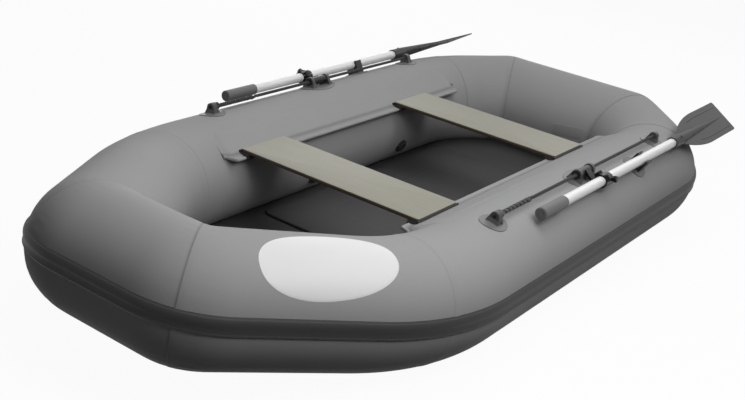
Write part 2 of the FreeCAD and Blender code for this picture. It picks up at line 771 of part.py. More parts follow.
def makeSeatRail():
    """A bonded strip with a bead along its lower edge that the seats slide on."""
    bow = bow_shoulder_x - bendBack(port_bow_corner) - seat_rail_end_margin
    stern = stern_shoulder_x + bendBack(port_stern_corner) + seat_rail_end_margin
    strip = tubeSector(
        tube_radius + skin_gap, tube_radius + seat_rail_strip_thickness,
        stern, bow, bead_angle - seat_rail_span, bead_angle
    )
    bead = Part.makeCylinder(seat_rail_bead_radius, bow - stern, V(stern, bead_line.y, bead_line.z), X)
    neck = Part.makeBox(
        bow - stern, seat_rail_strip_thickness, seat_rail_bead_standoff - skin_gap,
        V(stern, 0, tube_radius + skin_gap)
    )
    neck = onTube(neck, bead_angle)
    keep = Part.makeCylinder(
        tube_radius + skin_gap, bow - stern, V(stern, side_centre_y, tube_radius), X
    )
    return strip.multiFuse([bead, neck]).cut(keep).removeSplitter()


def makePlank(x):
    """A plywood seat plank with rounded corners."""
    bottom = seat_top_height - seat_thickness
    plank = Part.makeBox(
        seat_width, seat_length, seat_thickness, V(x - seat_width / 2, -seat_length / 2, bottom)
    )
    upright = [e for e in plank.Edges if abs(e.tangentAt(e.FirstParameter).z) > 0.9]
    return plank.makeFillet(seat_corner_radius, upright)


def makeShoe(x):
    """The profile under a plank's port end, hooked round the seat rail's bead."""
    length = seat_width + 2 * shoe_overhang
    x0 = x - length / 2
    bead = V(x0, bead_line.y, bead_line.z)
    inner = seat_rail_bead_radius + shoe_clearance
    outer = inner + shoe_wall
    hook = Part.makeCylinder(outer, length, bead, X)
    block = Part.makeBox(length, shoe_inboard + shoe_outboard, shoe_height, bead - Y * shoe_inboard)
    slot = Part.makeCylinder(inner, length, bead, X)
    clear = Part.makeCylinder(
        tube_radius + seat_rail_strip_thickness + shoe_clearance, length,
        V(x0, side_centre_y, tube_radius), X
    )
    return hook.fuse(block).cut(slot).cut(clear).removeSplitter()


def makeValve(x):
    """A screw valve: a thin flange on the tube's skin and a ribbed cap with a cross of spokes."""
    foot = V(x, 0, tube_radius - patch_thickness)
    flange = Part.makeCylinder(valve_flange_radius, patch_thickness + valve_flange_height, foot)
    cap = Part.makeCylinder(valve_cap_radius, patch_thickness + valve_cap_height, foot)
    top = tube_radius + valve_cap_height
    hollow = Part.makeCylinder(valve_dish_radius, valve_dish_depth, V(x, 0, top - valve_dish_depth))
    for size_x, size_y in (
        (2 * valve_dish_radius, valve_spoke_width), (valve_spoke_width, 2 * valve_dish_radius),
    ):
        corner = V(x - size_x / 2, -size_y / 2, top - valve_dish_depth)
        hollow = hollow.cut(Part.makeBox(size_x, size_y, valve_dish_depth, corner))
    notches = []
    for i in range(valve_notch_count):
        a = 2 * math.pi * i / valve_notch_count
        side = V(valve_cap_radius * math.cos(a), valve_cap_radius * math.sin(a), 0)
        start = V(x, 0, tube_radius + valve_flange_height) + side
        notches.append(Part.makeCylinder(valve_notch_radius, valve_cap_height, start))
    keep = V(x - 2 * valve_flange_radius, 0, 0)
    keep = Part.makeCylinder(tube_radius + skin_gap, 4 * valve_flange_radius, keep, X)
    valve = flange.fuse(cap).cut(Part.makeCompound(notches)).cut(hollow).cut(keep)
    # The starboard tube is the port one mirrored
    return onTube(valve, valve_angle).mirror(V(0, 0, 0), Y)


def mirrored(shape):
    """The starboard twin of a port shape."""
    return shape.mirror(V(0, 0, 0), Y)


parts = {}
tubes = [sweepPanel(i, circleProfile(tube_radius)) for i in range(len(corners))]
for name, tube in zip(panel_names, tubes):
    parts[name] = tube
parts["rub_rail"] = makeRubRail()
parts["floor_sheet"] = makeFloorSheet(tubes)
parts["floor_mat"] = makeFloorMat()
for name, make in (
    ("seat_rail", makeSeatRail), ("oarlock_base", makeOarlockBase), ("oarlock_axle", makeAxle),
    ("oar_holder", makeHolder), ("lifeline", makeLifeline), ("swivel_arm", makeSwivel),
    ("swivel_pin", makeSwivelPin), ("oar_clamp", makeClamp), ("clamp_knob", makeClampKnob),
    ("oar_shaft", makeShaft), ("oar_grip", makeGrip), ("oar_blade", makeBlade),
):
    shape = make()
    parts[name + "_port"] = shape
    parts[name + "_starboard"] = mirrored(shape)
for end, x in (("bow", line_lug_bow_x), ("stern", line_lug_stern_x)):
    lug = makeLineLug(x)
    parts["lifeline_lug_" + end + "_port"] = lug
    parts["lifeline_lug_" + end + "_starboard"] = mirrored(lug)
for end, x in (("bow", bow_seat_x), ("stern", stern_seat_x)):
    parts[end + "_seat_plank"] = makePlank(x)
    shoe = makeShoe(x)
    parts[end + "_seat_shoes"] = Part.makeCompound([shoe, mirrored(shoe)])
parts["valve_bow"] = makeValve(valve_bow_x)
parts["valve_stern"] = makeValve(valve_stern_x)

os.makedirs("parts", exist_ok=True)
for name, shape in parts.items():
    shape.exportStep("parts/" + name + ".step")
    print(name, len(shape.Solids), shape.isValid(), round(shape.Volume / 1e6, 3), "litres")
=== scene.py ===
import math

import bpy
import numpy as np
from mathutils import Matrix, Vector


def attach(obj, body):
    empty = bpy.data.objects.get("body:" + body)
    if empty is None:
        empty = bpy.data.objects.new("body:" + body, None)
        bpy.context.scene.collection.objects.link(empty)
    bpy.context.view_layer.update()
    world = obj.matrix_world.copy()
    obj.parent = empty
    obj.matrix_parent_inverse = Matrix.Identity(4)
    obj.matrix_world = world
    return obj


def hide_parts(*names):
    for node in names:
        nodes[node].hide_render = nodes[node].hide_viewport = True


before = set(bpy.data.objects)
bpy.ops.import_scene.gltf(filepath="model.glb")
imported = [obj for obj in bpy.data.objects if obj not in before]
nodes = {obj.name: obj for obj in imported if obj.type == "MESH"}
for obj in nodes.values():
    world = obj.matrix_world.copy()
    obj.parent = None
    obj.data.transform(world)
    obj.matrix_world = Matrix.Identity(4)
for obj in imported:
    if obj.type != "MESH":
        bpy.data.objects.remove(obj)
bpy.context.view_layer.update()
print("frame loaded")

# Every length is in metres: +X to the bow, +Y to port, +Z up.

cameraSettings = {
    "place": (3.086, 1.655, 1.49), "azimuth": 0.628, "elevation": 0.384, "roll": 0.137,
    "focalPixels": 1154.526, "centrePixels": (250.355, 191.119), "photoPixels": (745, 400), "sensor": 36.0,
    "clip": (0.05, 60.0),
}


def makeCamera(s):
    # The view axes from azimuth, elevation and roll; the shift puts the optical axis at its pixel
    ca, sa = math.cos(s["azimuth"]), math.sin(s["azimuth"])
    ce, se = math.cos(s["elevation"]), math.sin(s["elevation"])
    back = Vector((ca * ce, sa * ce, se))
    right = (-back).cross(Vector((0, 0, 1))).normalized()
    up = right.cross(-back)
    c, r = math.cos(s["roll"]), math.sin(s["roll"])
    across = right * c + up * r
    above = up * c - right * r
    turn = Matrix((across, above, back)).transposed().to_4x4()
    camera = bpy.data.objects.new("camera", bpy.data.cameras.new("camera"))
    bpy.context.scene.collection.objects.link(camera)
    camera.matrix_world = Matrix.Translation(s["place"]) @ turn
    width, height = s["photoPixels"]
    camera.data.sensor_width = s["sensor"]
    camera.data.lens = s["focalPixels"] * s["sensor"] / width
    camera.data.shift_x = 0.5 - s["centrePixels"][0] / width
    camera.data.shift_y = (s["centrePixels"][1] - height / 2) / width
    camera.data.clip_start, camera.data.clip_end = s["clip"]
    bpy.context.scene.camera = camera


makeCamera(cameraSettings)
bpy.context.scene.view_settings.view_transform = "Standard"


def unit(v):
    # Each vector over its own length
    v = np.asarray(v, float)
    return v / np.linalg.norm(v, axis=-1, keepdims=True)


def smoothStep(a, b, x):
    # 0 up to a, 1 from b on, and 3t^2 - 2t^3 between them
    t = np.clip((x - a) / (b - a), 0, 1)
    return t * t * (3 - 2 * t)


def bell(x, middle, width, power=2):
    # 1 at the middle, and e to the minus one at this width to each side of it
    return np.exp(-(np.abs(x - middle) / width) ** power)


def fullTurn(count):
    # Angles spaced evenly round a circle
    return np.linspace(0, 2 * math.pi, count, endpoint=False)


def gridQuads(rows, cols, wrapRows=False, wrapCols=False):
    # Four corner numbers for each cell of a grid of points, joined to its start where it wraps
    r = np.arange(rows if wrapRows else rows - 1)
    c = np.arange(cols if wrapCols else cols - 1)
    r, c = np.meshgrid(r, c, indexing="ij")
    r2, c2 = (r + 1) % rows, (c + 1) % cols
    return np.stack([r * cols + c, r * cols + c2, r2 * cols + c2, r2 * cols + c], -1).reshape(-1, 4)


def tubeShell(grid):
    # A grid of sections (rows) of points round a loop (columns), with a fan to the mean point at each end
    rows, cols = grid.shape[:2]
    points = np.vstack([grid.reshape(-1, 3), grid[0].mean(0), grid[-1].mean(0)])
    loop = np.arange(cols)
    after = (loop + 1) % cols
    last = (rows - 1) * cols
    faces = gridQuads(rows, cols, wrapCols=True).tolist()
    faces += np.stack([after, loop, np.full(cols, rows * cols)], -1).tolist()
    faces += np.stack([last + loop, last + after, np.full(cols, rows * cols + 1)], -1).tolist()
    return points, faces


def withEnds(values):
    # Values for the points of a grid, and zeros for the two end points that tubeShell adds
    return np.concatenate([values, np.zeros((2,) + values.shape[1:])])


def drawnShell(outline, x):
    # One closed outline in the plane across the boat, drawn along x, with a flat face at each end
    grid = np.stack([np.concatenate([np.full((len(outline), 1), at), outline], 1) for at in x])
    rows, cols = grid.shape[:2]
    faces = gridQuads(rows, cols, wrapCols=True).tolist()
    faces += [list(range(cols))[::-1], list(range((rows - 1) * cols, rows * cols))]
    return grid.reshape(-1, 3), faces


def mirrorShell(shell):
    # The shell on the boat's other side, with its faces turned round so that they still face outwards
    return shell[0] * np.array([1, -1, 1]), [face[::-1] for face in shell[1]]


def joinShells(shells):
    # Points one after the other, and faces with their numbers moved on by the points before them
    points, faces, start = [], [], 0
    for p, f in shells:
        points.append(p)
        faces += [[i + start for i in face] for face in f]
        start += len(p)
    return np.vstack(points), faces


def signedVolume(points, faces):
    # Sum of the tetrahedra from the origin to each face: below zero where the faces point inwards
    total = 0.0
    for size in {len(f) for f in faces}:
        these = np.array([f for f in faces if len(f) == size], int)
        for k in range(1, size - 1):
            a, b, c = points[these[:, 0]], points[these[:, k]], points[these[:, k + 1]]
            total += np.einsum("ij,ij->i", a, np.cross(b, c)).sum() / 6
    return total


def addMesh(name, shell, material, uv=None, attributes=None):
    # An object at the origin from points and smooth faces, with its own map and one number per point
    mesh = bpy.data.meshes.new(name)
    mesh.from_pydata(shell[0].tolist(), [], shell[1])
    mesh.polygons.foreach_set("use_smooth", np.ones(len(mesh.polygons), bool))
    if uv is not None:
        layer = mesh.uv_layers.new(name="skinMap")
        loops = np.zeros(len(mesh.loops), int)
        mesh.loops.foreach_get("vertex_index", loops)
        layer.data.foreach_set("uv", uv[loops].astype(np.float32).ravel())
    for key, values in (attributes or {}).items():
        mesh.attributes.new(key, "FLOAT", "POINT").data.foreach_set("value", values.astype(np.float32))
    mesh.materials.append(material)
    piece = bpy.data.objects.new(name, mesh)
    bpy.context.scene.collection.objects.link(piece)
    return piece


def makePiece(name, shell, body, material, replaced=(), uv=None, attributes=None, sharpAngle=40):
    # A closed shell turned to face outwards, with edges over an angle kept sharp, riding on its body
    points, faces = shell
    if signedVolume(points - points.mean(0), faces) < 0:
        faces = [face[::-1] for face in faces]
    piece = addMesh(name, (points, faces), material, uv, attributes)
    piece.data.validate()
    piece.data.update()
    piece.data.set_sharp_from_angle(angle=math.radians(sharpAngle))
    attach(piece, body)
    if replaced:
        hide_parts(*replaced)
    return piece


def dress(node, material):
    # Gives a CAD node that stays its material
    mesh = nodes[node].data
    mesh.materials.clear()
    mesh.materials.append(material)


def feed(tree, socket, value):
    # Links another socket's value in, or writes in a plain number or colour
    if hasattr(value, "is_linked"):
        tree.links.new(value, socket)
    else:
        socket.default_value = (*value, 1) if isinstance(value, tuple) else value


def addMath(tree, operation, *values, clamp=False):
    # One maths node on numbers or sockets, held between 0 and 1 where asked
    node = tree.nodes.new("ShaderNodeMath")
    node.operation = operation
    node.use_clamp = clamp
    for socket, value in zip(node.inputs, values):
        feed(tree, socket, value)
    return node.outputs[0]


def addNoise(tree, vector, scale, detail=2, roughness=0.5):
    # Fractal noise between 0 and 1
    node = tree.nodes.new("ShaderNodeTexNoise")
    for name, value in (("Vector", vector), ("Scale", scale), ("Detail", detail), ("Roughness", roughness)):
        feed(tree, node.inputs[name], value)
    return node.outputs["Fac"]


def mixColour(tree, factor, a, b):
    # Colour a where the factor is 0, b where it is 1
    node = tree.nodes.new("ShaderNodeMix")
    node.data_type = "RGBA"
    for socket, value in ((node.inputs["Factor"], factor), (node.inputs[6], a), (node.inputs[7], b)):
        feed(tree, socket, value)
    return node.outputs[2]


def splitAxes(tree, vector):
    # The vector's X, Y and Z as sockets
    node = tree.nodes.new("ShaderNodeSeparateXYZ")
    feed(tree, node.inputs[0], vector)
    return node.outputs


def readAttribute(tree, name):
    # The number that the piece's mesh holds at each point under this name
    node = tree.nodes.new("ShaderNodeAttribute")
    node.attribute_name = name
    return node.outputs["Fac"]


socketKinds = {"Vector": "NodeSocketVector", "Colour": "NodeSocketColor"}


def nodeGroup(name, inputs, outputs):
    # A shader node group with these inputs, numbers with their usual values, and these outputs
    group = bpy.data.node_groups.new(name, "ShaderNodeTree")
    for label, value in inputs.items():
        kind = socketKinds.get(label, "NodeSocketFloat")
        socket = group.interface.new_socket(label, in_out="INPUT", socket_type=kind)
        if value is not None:
            socket.default_value = value
    for label in outputs:
        kind = socketKinds.get(label, "NodeSocketFloat")
        group.interface.new_socket(label, in_out="OUTPUT", socket_type=kind)
    return group, group.nodes.new("NodeGroupInput").outputs, group.nodes.new("NodeGroupOutput").inputs


def buildTone():
    # Colour times one plus Amount times a mix of noises around zero: broad clouds and fine mottling
    inputs = {"Vector": None, "Colour": None, "Broad": 3.0, "Fine": 160.0, "Amount": 0.1}
    group, source, sink = nodeGroup("surfaceTone", inputs, ("Colour", "Mask"))
    broad = addNoise(group, source["Vector"], source["Broad"], 3)
    fine = addNoise(group, source["Vector"], source["Fine"])
    both = addMath(group, "MULTIPLY_ADD", broad, 0.7, addMath(group, "MULTIPLY", fine, 0.3))
    centred = addMath(group, "MULTIPLY", addMath(group, "SUBTRACT", both, 0.5), 2.0)
    gain = addMath(group, "MULTIPLY_ADD", centred, source["Amount"], 1.0)
    scale = group.nodes.new("ShaderNodeVectorMath")
    scale.operation = "SCALE"
    feed(group, scale.inputs[0], source["Colour"])
    feed(group, scale.inputs["Scale"], gain)
    feed(group, sink["Colour"], scale.outputs[0])
    feed(group, sink["Mask"], both)
    return group


def buildWeave():
    # Height of a plain weave on a flat map: half of one plus the product of two crossed sine waves
    group, source, sink = nodeGroup("plainWeave", {"Vector": None, "Pitch": 0.0012}, ("Height",))
    axes = splitAxes(group, source["Vector"])
    waves = []
    for axis in ("X", "Y"):
        turns = addMath(group, "DIVIDE", axes[axis], source["Pitch"])
        waves.append(addMath(group, "SINE", addMath(group, "MULTIPLY", turns, 2 * math.pi)))
    product = addMath(group, "MULTIPLY", *waves)
    feed(group, sink["Height"], addMath(group, "MULTIPLY_ADD", product, 0.5, 0.5))
    return group


def buildScuff():
    # Sparse scratches: a noise drawn out fourfold along x, shown where it passes Cover
    group, source, sink = nodeGroup("scuffMarks", {"Vector": None, "Scale": 30.0, "Cover": 0.62}, ("Mask",))
    stretch = group.nodes.new("ShaderNodeVectorMath")
    stretch.operation = "MULTIPLY"
    stretch.inputs[1].default_value = (0.25, 1, 1)
    feed(group, stretch.inputs[0], source["Vector"])
    noise = addNoise(group, stretch.outputs[0], source["Scale"], 6, 0.65)
    past = addMath(group, "SUBTRACT", noise, source["Cover"])
    feed(group, sink["Mask"], addMath(group, "MULTIPLY", past, 12.0, clamp=True))
    return group


toneGroup, weaveGroup, scuffGroup = buildTone(), buildWeave(), buildScuff()


def useGroup(tree, group, vector, **values):
    # The group placed in a material with the material's own values
    node = tree.nodes.new("ShaderNodeGroup")
    node.node_tree = group
    for key, value in {"Vector": vector, **values}.items():
        feed(tree, node.inputs[key], value)
    return node.outputs


mouldedFinish = {
    "specular": 0.5, "metallic": 0.0, "sheen": 0.0, "roughSpread": 0.12, "bump": 0.2, "bumpDistance": 0.0005,
    "broad": 25.0, "fine": 400.0, "amount": 0.12, "grain": 900.0, "scuff": 0.0,
}
coatedFinish = {
    **mouldedFinish, "broad": 2.5, "fine": 90.0, "amount": 0.06, "mottle": 300.0, "mapped": True,
    "pitch": 0.0014, "weaveShare": 0.5, "seams": 0.0, "seamColour": (0.08, 0.08, 0.08),
}


def startMaterial(name, s, mapped=False):
    # The shader with the finish's plain values, and where its patterns lie: the piece's own map or its object
    material = bpy.data.materials.new(name)
    material.use_nodes = True
    tree = material.node_tree
    shader = tree.nodes["Principled BSDF"].inputs
    shader["Specular IOR Level"].default_value = s["specular"]
    shader["Metallic"].default_value = s["metallic"]
    shader["Sheen Weight"].default_value = s["sheen"]
    if not mapped:
        return material, tree, shader, tree.nodes.new("ShaderNodeTexCoord").outputs["Object"]
    skinMap = tree.nodes.new("ShaderNodeUVMap")
    skinMap.uv_map = "skinMap"
    return material, tree, shader, skinMap.outputs[0]


def finishSurface(tree, shader, place, s, colour, mask, height):
    # Roughness that follows the mask round its middle value, scuffs over the colour, and a bump from height
    rough = addMath(tree, "MULTIPLY_ADD", mask, s["roughSpread"], s["roughness"] - s["roughSpread"] / 2)
    feed(tree, shader["Roughness"], rough)
    if s["scuff"]:
        gain = addMath(tree, "MULTIPLY", useGroup(tree, scuffGroup, place)["Mask"], s["scuff"])
        colour = mixColour(tree, gain, colour, s["scuffColour"])
    feed(tree, shader["Base Color"], colour)
    bump = tree.nodes.new("ShaderNodeBump")
    feed(tree, bump.inputs["Strength"], s["bump"])
    feed(tree, bump.inputs["Distance"], s["bumpDistance"])
    feed(tree, bump.inputs["Height"], height)
    feed(tree, shader["Normal"], bump.outputs[0])


def addTone(tree, place, s, colour):
    # The colour and mask of the tone group with the finish's values
    values = {"Broad": s["broad"], "Fine": s["fine"], "Amount": s["amount"]}
    return useGroup(tree, toneGroup, place, Colour=colour, **values)


def finishMoulded(tree, shader, place, s, colour):
    # The colour with its tone, and a fine orange-peel grain
    tone = addTone(tree, place, s, colour)
    finishSurface(tree, shader, place, s, tone["Colour"], tone["Mask"], addNoise(tree, place, s["grain"]))


def makeMoulded(name, **given):
    # Moulded plastic or rubber in one colour
    s = {**mouldedFinish, **given}
    material, tree, shader, place = startMaterial(name, s)
    finishMoulded(tree, shader, place, s, s["colour"])
    return material


def makeCoated(name, **given):
    # Coated fabric: weave and mottle show faintly through the coating, and painted shade darkens it towards
    # the shade colour
    s = {**coatedFinish, **given}
    material, tree, shader, place = startMaterial(name, s, s["mapped"])
    tone = addTone(tree, place, s, s["colour"])
    weave = useGroup(tree, weaveGroup, place, Pitch=s["pitch"])
    mottle = addNoise(tree, place, s["mottle"])
    height = addMath(tree, "MULTIPLY_ADD", weave["Height"], s["weaveShare"], mottle)
    colour = tone["Colour"]
    # Painted shade: darker by the mesh's own share, on lap edges, the welt's bend and the end profiles' cut
    # ends
    if s["seams"]:
        gain = addMath(tree, "MULTIPLY", readAttribute(tree, "seam"), s["seams"])
        colour = mixColour(tree, gain, colour, s["seamColour"])
    finishSurface(tree, shader, place, s, colour, tone["Mask"], height)
    return material


def makePlywood(name, **given):
    # Lacquered veneer: noises drawn out along the plank for its grain, sine bands in z for its edges' plies
    s = {**mouldedFinish, **given}
    material, tree, shader, place = startMaterial(name, s)
    stretch = tree.nodes.new("ShaderNodeMapping")
    stretch.inputs["Scale"].default_value = (1, s["stretch"], 1)
    feed(tree, stretch.inputs["Vector"], place)
    grain = addNoise(tree, stretch.outputs[0], s["grain"], 5, 0.6)
    figure = addNoise(tree, stretch.outputs[0], s["figure"], 3)
    both = addMath(tree, "MULTIPLY_ADD", grain, 0.6, addMath(tree, "MULTIPLY", figure, 0.4))
    ramp = tree.nodes.new("ShaderNodeValToRGB")
    for element, share, colour in zip(ramp.color_ramp.elements, s["ramp"], (s["dark"], s["light"])):
        element.position, element.color = share, (*colour, 1)
    feed(tree, ramp.inputs[0], both)
    turns = addMath(tree, "MULTIPLY", splitAxes(tree, place)["Z"], s["plies"] * 2 * math.pi)
    plies = addMath(tree, "MULTIPLY_ADD", addMath(tree, "SINE", turns), 0.5, 0.5)
    band = mixColour(tree, plies, s["edgeDark"], s["edgeLight"])
    colour = mixColour(tree, readAttribute(tree, "edge"), ramp.outputs[0], band)
    finishSurface(tree, shader, place, s, colour, both, grain)
    return material


def makeBraid(name, **given):
    # Rope yarn on the rope's own map: dark, with a painted highlight by the mesh's own share, and fine fibres
    s = {**mouldedFinish, **given}
    material, tree, shader, place = startMaterial(name, s, True)
    yarn = mixColour(tree, readAttribute(tree, "pale"), s["colour"], s["paleColour"])
    finishMoulded(tree, shader, place, s, yarn)
    return material


def fromAxis(tree, place, y, z):
    # How far a place lies outboard of and above an axis along the boat, alike on both sides of it
    axes = splitAxes(tree, place)
    aside = addMath(tree, "SUBTRACT", addMath(tree, "ABSOLUTE", axes["Y"]), y)
    return aside, addMath(tree, "SUBTRACT", axes["Z"], z)


fittingFinish = {**mouldedFinish, "patch": (0.20, 0.20, 0.202), "patchHeight": 0.0034, "fade": 0.0012}


def makeFitting(name, **given):
    # Rubber fitting on a bonded patch: the patch's grey up to its height over the tube, its own colour above
    s = {**fittingFinish, **given}
    material, tree, shader, place = startMaterial(name, s)
    aside, above = fromAxis(tree, place, ring["sideY"], ring["radius"])
    squares = addMath(tree, "MULTIPLY_ADD", aside, aside, addMath(tree, "MULTIPLY", above, above))
    over = addMath(tree, "SUBTRACT", addMath(tree, "SQRT", squares), ring["radius"] + s["patchHeight"])
    mask = addMath(tree, "MULTIPLY", over, 1 / s["fade"], clamp=True)
    finishMoulded(tree, shader, place, s, mixColour(tree, mask, s["patch"], s["colour"]))
    return material


def makeBlade(name, **given):
    # Moulded blade: its ribs and rim, which stand over the leaning plate on both faces, are painted darker as
    # shade
    s = {**mouldedFinish, **given}
    material, tree, shader, place = startMaterial(name, s)
    aside, above = fromAxis(tree, place, *s["axis"])
    lean = math.radians(s["lean"])
    over = addMath(tree, "MULTIPLY", above, math.cos(lean))
    over = addMath(tree, "MULTIPLY_ADD", aside, math.sin(lean), over)
    raised = addMath(tree, "SUBTRACT", addMath(tree, "ABSOLUTE", over), s["plate"])
    mask = addMath(tree, "MULTIPLY", raised, 1 / s["fade"], clamp=True)
    finishMoulded(tree, shader, place, s, mixColour(tree, mask, s["colour"], s["ribColour"]))
    return material


# The tubes' sizes come before the materials, because the fittings' patches are told from the tube's skin
ring = {
    "radius": 0.170, "sideY": 0.467, "bowShoulderX": 0.687, "bowX": 1.216, "bowHalf": 0.169, "bowRise": 0.070,
    "sternShoulderX": -1.006, "sternX": -1.216, "sternHalf": 0.253, "sternRise": 0.027,
    "bowBend": 0.719, "sternBend": 0.348, "bowFillet": 0.074, "sternFillet": 0.008, "tightest": 0.03,
    "around": 112, "rowStep": 0.016, "samples": 400, "lapRows": (0, 0.35, 0.7, 0.92, 1.0, 1.1, 1.5, 2.2, 3.2),
    "lapWidth": 0.014, "lapHeight": 0.0009, "lapEdge": (0.93, 1.02), "lapUnder": 0.03, "bowPortLap": 0.15,
    "seamWidth": 0.0016, "puckers": 46, "puckerHeight": 0.0011, "puckerAt": 0.03, "puckerFrom": (0.004, 0.02),
    "swell": 0.0018, "swellBack": 0.016, "swellWidth": 0.010, "swellAt": 0.76, "swellSpread": 0.30,
}

materials = {
    # The hull fabric carries a painted shade line at each lap's edge
    "hull": makeCoated("hullFabric", colour=(0.425, 0.425, 0.427), roughness=0.6, specular=0.04, bump=0.12,
                       seams=0.36),
    # The welt carries a painted shade line along its bend
    "welt": makeCoated("weltFabric", colour=(0.425, 0.425, 0.427), roughness=0.6, specular=0.04, bump=0.12,
                       mapped=False, seams=0.45, seamColour=(0.12, 0.12, 0.12)),
    "rail": makeMoulded("rubRailRubber", colour=(0.056, 0.056, 0.057), roughness=0.55, specular=0.2,
                        scuff=0.1, scuffColour=(0.1, 0.1, 0.1)),
    "floor": makeCoated("floorFabric", colour=(0.062, 0.062, 0.065), roughness=0.62, bump=0.35, pitch=0.002,
                        amount=0.2, broad=4.0),
    "mat": makeCoated("matFabric", colour=(0.05, 0.05, 0.053), roughness=0.7, bump=0.5, pitch=0.003,
                      amount=0.3, broad=5.0),
    "fitting": makeFitting("fittingRubber", colour=(0.075, 0.075, 0.077), roughness=0.4, specular=0.25),
    "holder": makeFitting("holderRubber", colour=(0.03, 0.03, 0.031), roughness=0.45, specular=0.2),
    "black": makeMoulded("blackNylon", colour=(0.012, 0.012, 0.0125), roughness=0.28, specular=0.16,
                         bump=0.25, amount=0.2),
    "axle": makeMoulded("axlePlastic", colour=(0.02, 0.02, 0.0205), roughness=0.4, specular=0.18),
    "pin": makeMoulded("pinBlack", colour=(0.02, 0.02, 0.0205), roughness=0.28, specular=0.3, metallic=0.1,
                       bump=0.1),
    # The rope's paler colour is a painted highlight
    "rope": makeBraid("ropeBraid", colour=(0.03, 0.03, 0.0315), paleColour=(0.2, 0.2, 0.202), roughness=0.8,
                      specular=0.15, sheen=0.15, bump=0.5, broad=60.0, fine=900.0, amount=0.3, grain=2500.0),
    "valve": makeMoulded("valvePlastic", colour=(0.045, 0.045, 0.046), roughness=0.4, specular=0.25),
    "plywood": makePlywood("plywoodLacquer", light=(0.30, 0.288, 0.222), dark=(0.25, 0.24, 0.184),
                           ramp=(0.32, 0.68), grain=130.0, figure=18.0, stretch=0.06, plies=420.0,
                           edgeLight=(0.10, 0.06, 0.036), edgeDark=(0.025, 0.02, 0.015), roughness=0.45,
                           bump=0.1),
    # The end profiles' cut ends take painted shade
    "shoe": makeCoated("endProfilePlastic", colour=(0.042, 0.042, 0.0425), roughness=0.45, specular=0.25,
                       bump=0.04, mapped=False, seams=1.0, seamColour=(0.03, 0.03, 0.03), weaveShare=0.0),
    "shaft": makeMoulded("whiteShaft", colour=(0.97, 0.97, 0.97), roughness=0.3, specular=0.9, bump=0.05,
                         amount=0.02, scuff=0.05, scuffColour=(0.6, 0.6, 0.6)),
    "grip": makeMoulded("gripRubber", colour=(0.17, 0.17, 0.172), roughness=0.5, specular=0.25, bump=0.3),
    # The blade's ribs and rim take a darker colour as painted shade
    "blade": makeBlade("bladePlastic", colour=(0.075, 0.075, 0.077), ribColour=(0.03, 0.03, 0.031),
                       roughness=0.5, specular=0.2, scuff=0.08, scuffColour=(0.25, 0.25, 0.25),
                       broad=12.0, fine=300.0, axis=(0.56777, 0.35001), lean=33.0, plate=0.0023, fade=0.0008),
    "label": makeMoulded("blankLabel", colour=(0.92, 0.92, 0.92), roughness=0.4, bump=0.05, amount=0.01),
    "plate": makeMoulded("blankPlate", colour=(0.36, 0.36, 0.362), roughness=0.5, bump=0.05, amount=0.05),
}
print("materials made")

panelNames = (
    "side_port", "bow_port", "bow", "bow_starboard",
    "side_starboard", "stern_starboard", "stern", "stern_port",
)
mitres = (1, 2, 5, 6)


def ringCorners(s):
    # Where neighbouring centre lines meet, from the port shoulder round by the bow and back by the stern
    y, z = s["sideY"], s["radius"]
    bow = np.array([(s["bowShoulderX"], y, z), (s["bowX"], s["bowHalf"], z + s["bowRise"])])
    stern = np.array([(s["sternX"], s["sternHalf"], z + s["sternRise"]), (s["sternShoulderX"], y, z)])
    flip = np.array([1, -1, 1])
    return np.vstack([bow, bow[::-1] * flip, stern[::-1] * flip, stern])


corners = ringCorners(ring)
bends = [ring[end + kind] for end in ("bow", "stern") for kind in ("Bend", "Fillet", "Fillet", "Bend")]
along = unit(corners - np.roll(corners, 1, 0))


def carryNormals():
    # The outward normal turned at each corner about the same axis and as far as the panel's direction turns
    normals = [np.array([0.0, 1, 0])]
    for before, after in zip(along[:-1], along[1:]):
        axis = unit(np.cross(before, after))
        turn = math.acos(np.clip(before @ after, -1, 1))
        n = normals[-1]
        turned = n * math.cos(turn) + np.cross(axis, n) * math.sin(turn)
        normals.append(turned + axis * (axis @ n) * (1 - math.cos(turn)))
    return np.array(normals)


outward = carryNormals()
upward = np.cross(outward, along)
upward *= np.sign(upward[:, 2:3])


def cornerArc(k, panel, offset, t):
    # Point at share t of the round at corner k, for generator lines at this offset from panel's centre line:
    # an arc that touches both lines, never tighter than the fabric folds on the inner side of a mitre
    a, b = along[k], along[(k + 1) % 8]
    half = math.acos(np.clip(a @ b, -1, 1)) / 2
    middle = unit(a + b)
    own = along[panel]
    inward = unit(b - a)
    inward = unit(inward - (inward @ own) * own)
    corner = corners[k] + offset - own * ((offset @ middle) / (own @ middle))[..., None]
    bend = bends[k] - offset @ inward
    soft = ring["tightest"]
    bend = soft + 0.5 * (bend - soft + np.sqrt((bend - soft) ** 2 + (soft / 2) ** 2))
    reach = (bend * math.tan(half))[..., None]
    start, end = corner - a * reach, corner + b * reach
    t = t[..., None]
    weight = 2 * t * (1 - t) * math.cos(half)
    return ((1 - t) ** 2 * start + weight * corner + t ** 2 * end) / ((1 - t) ** 2 + weight + t ** 2)


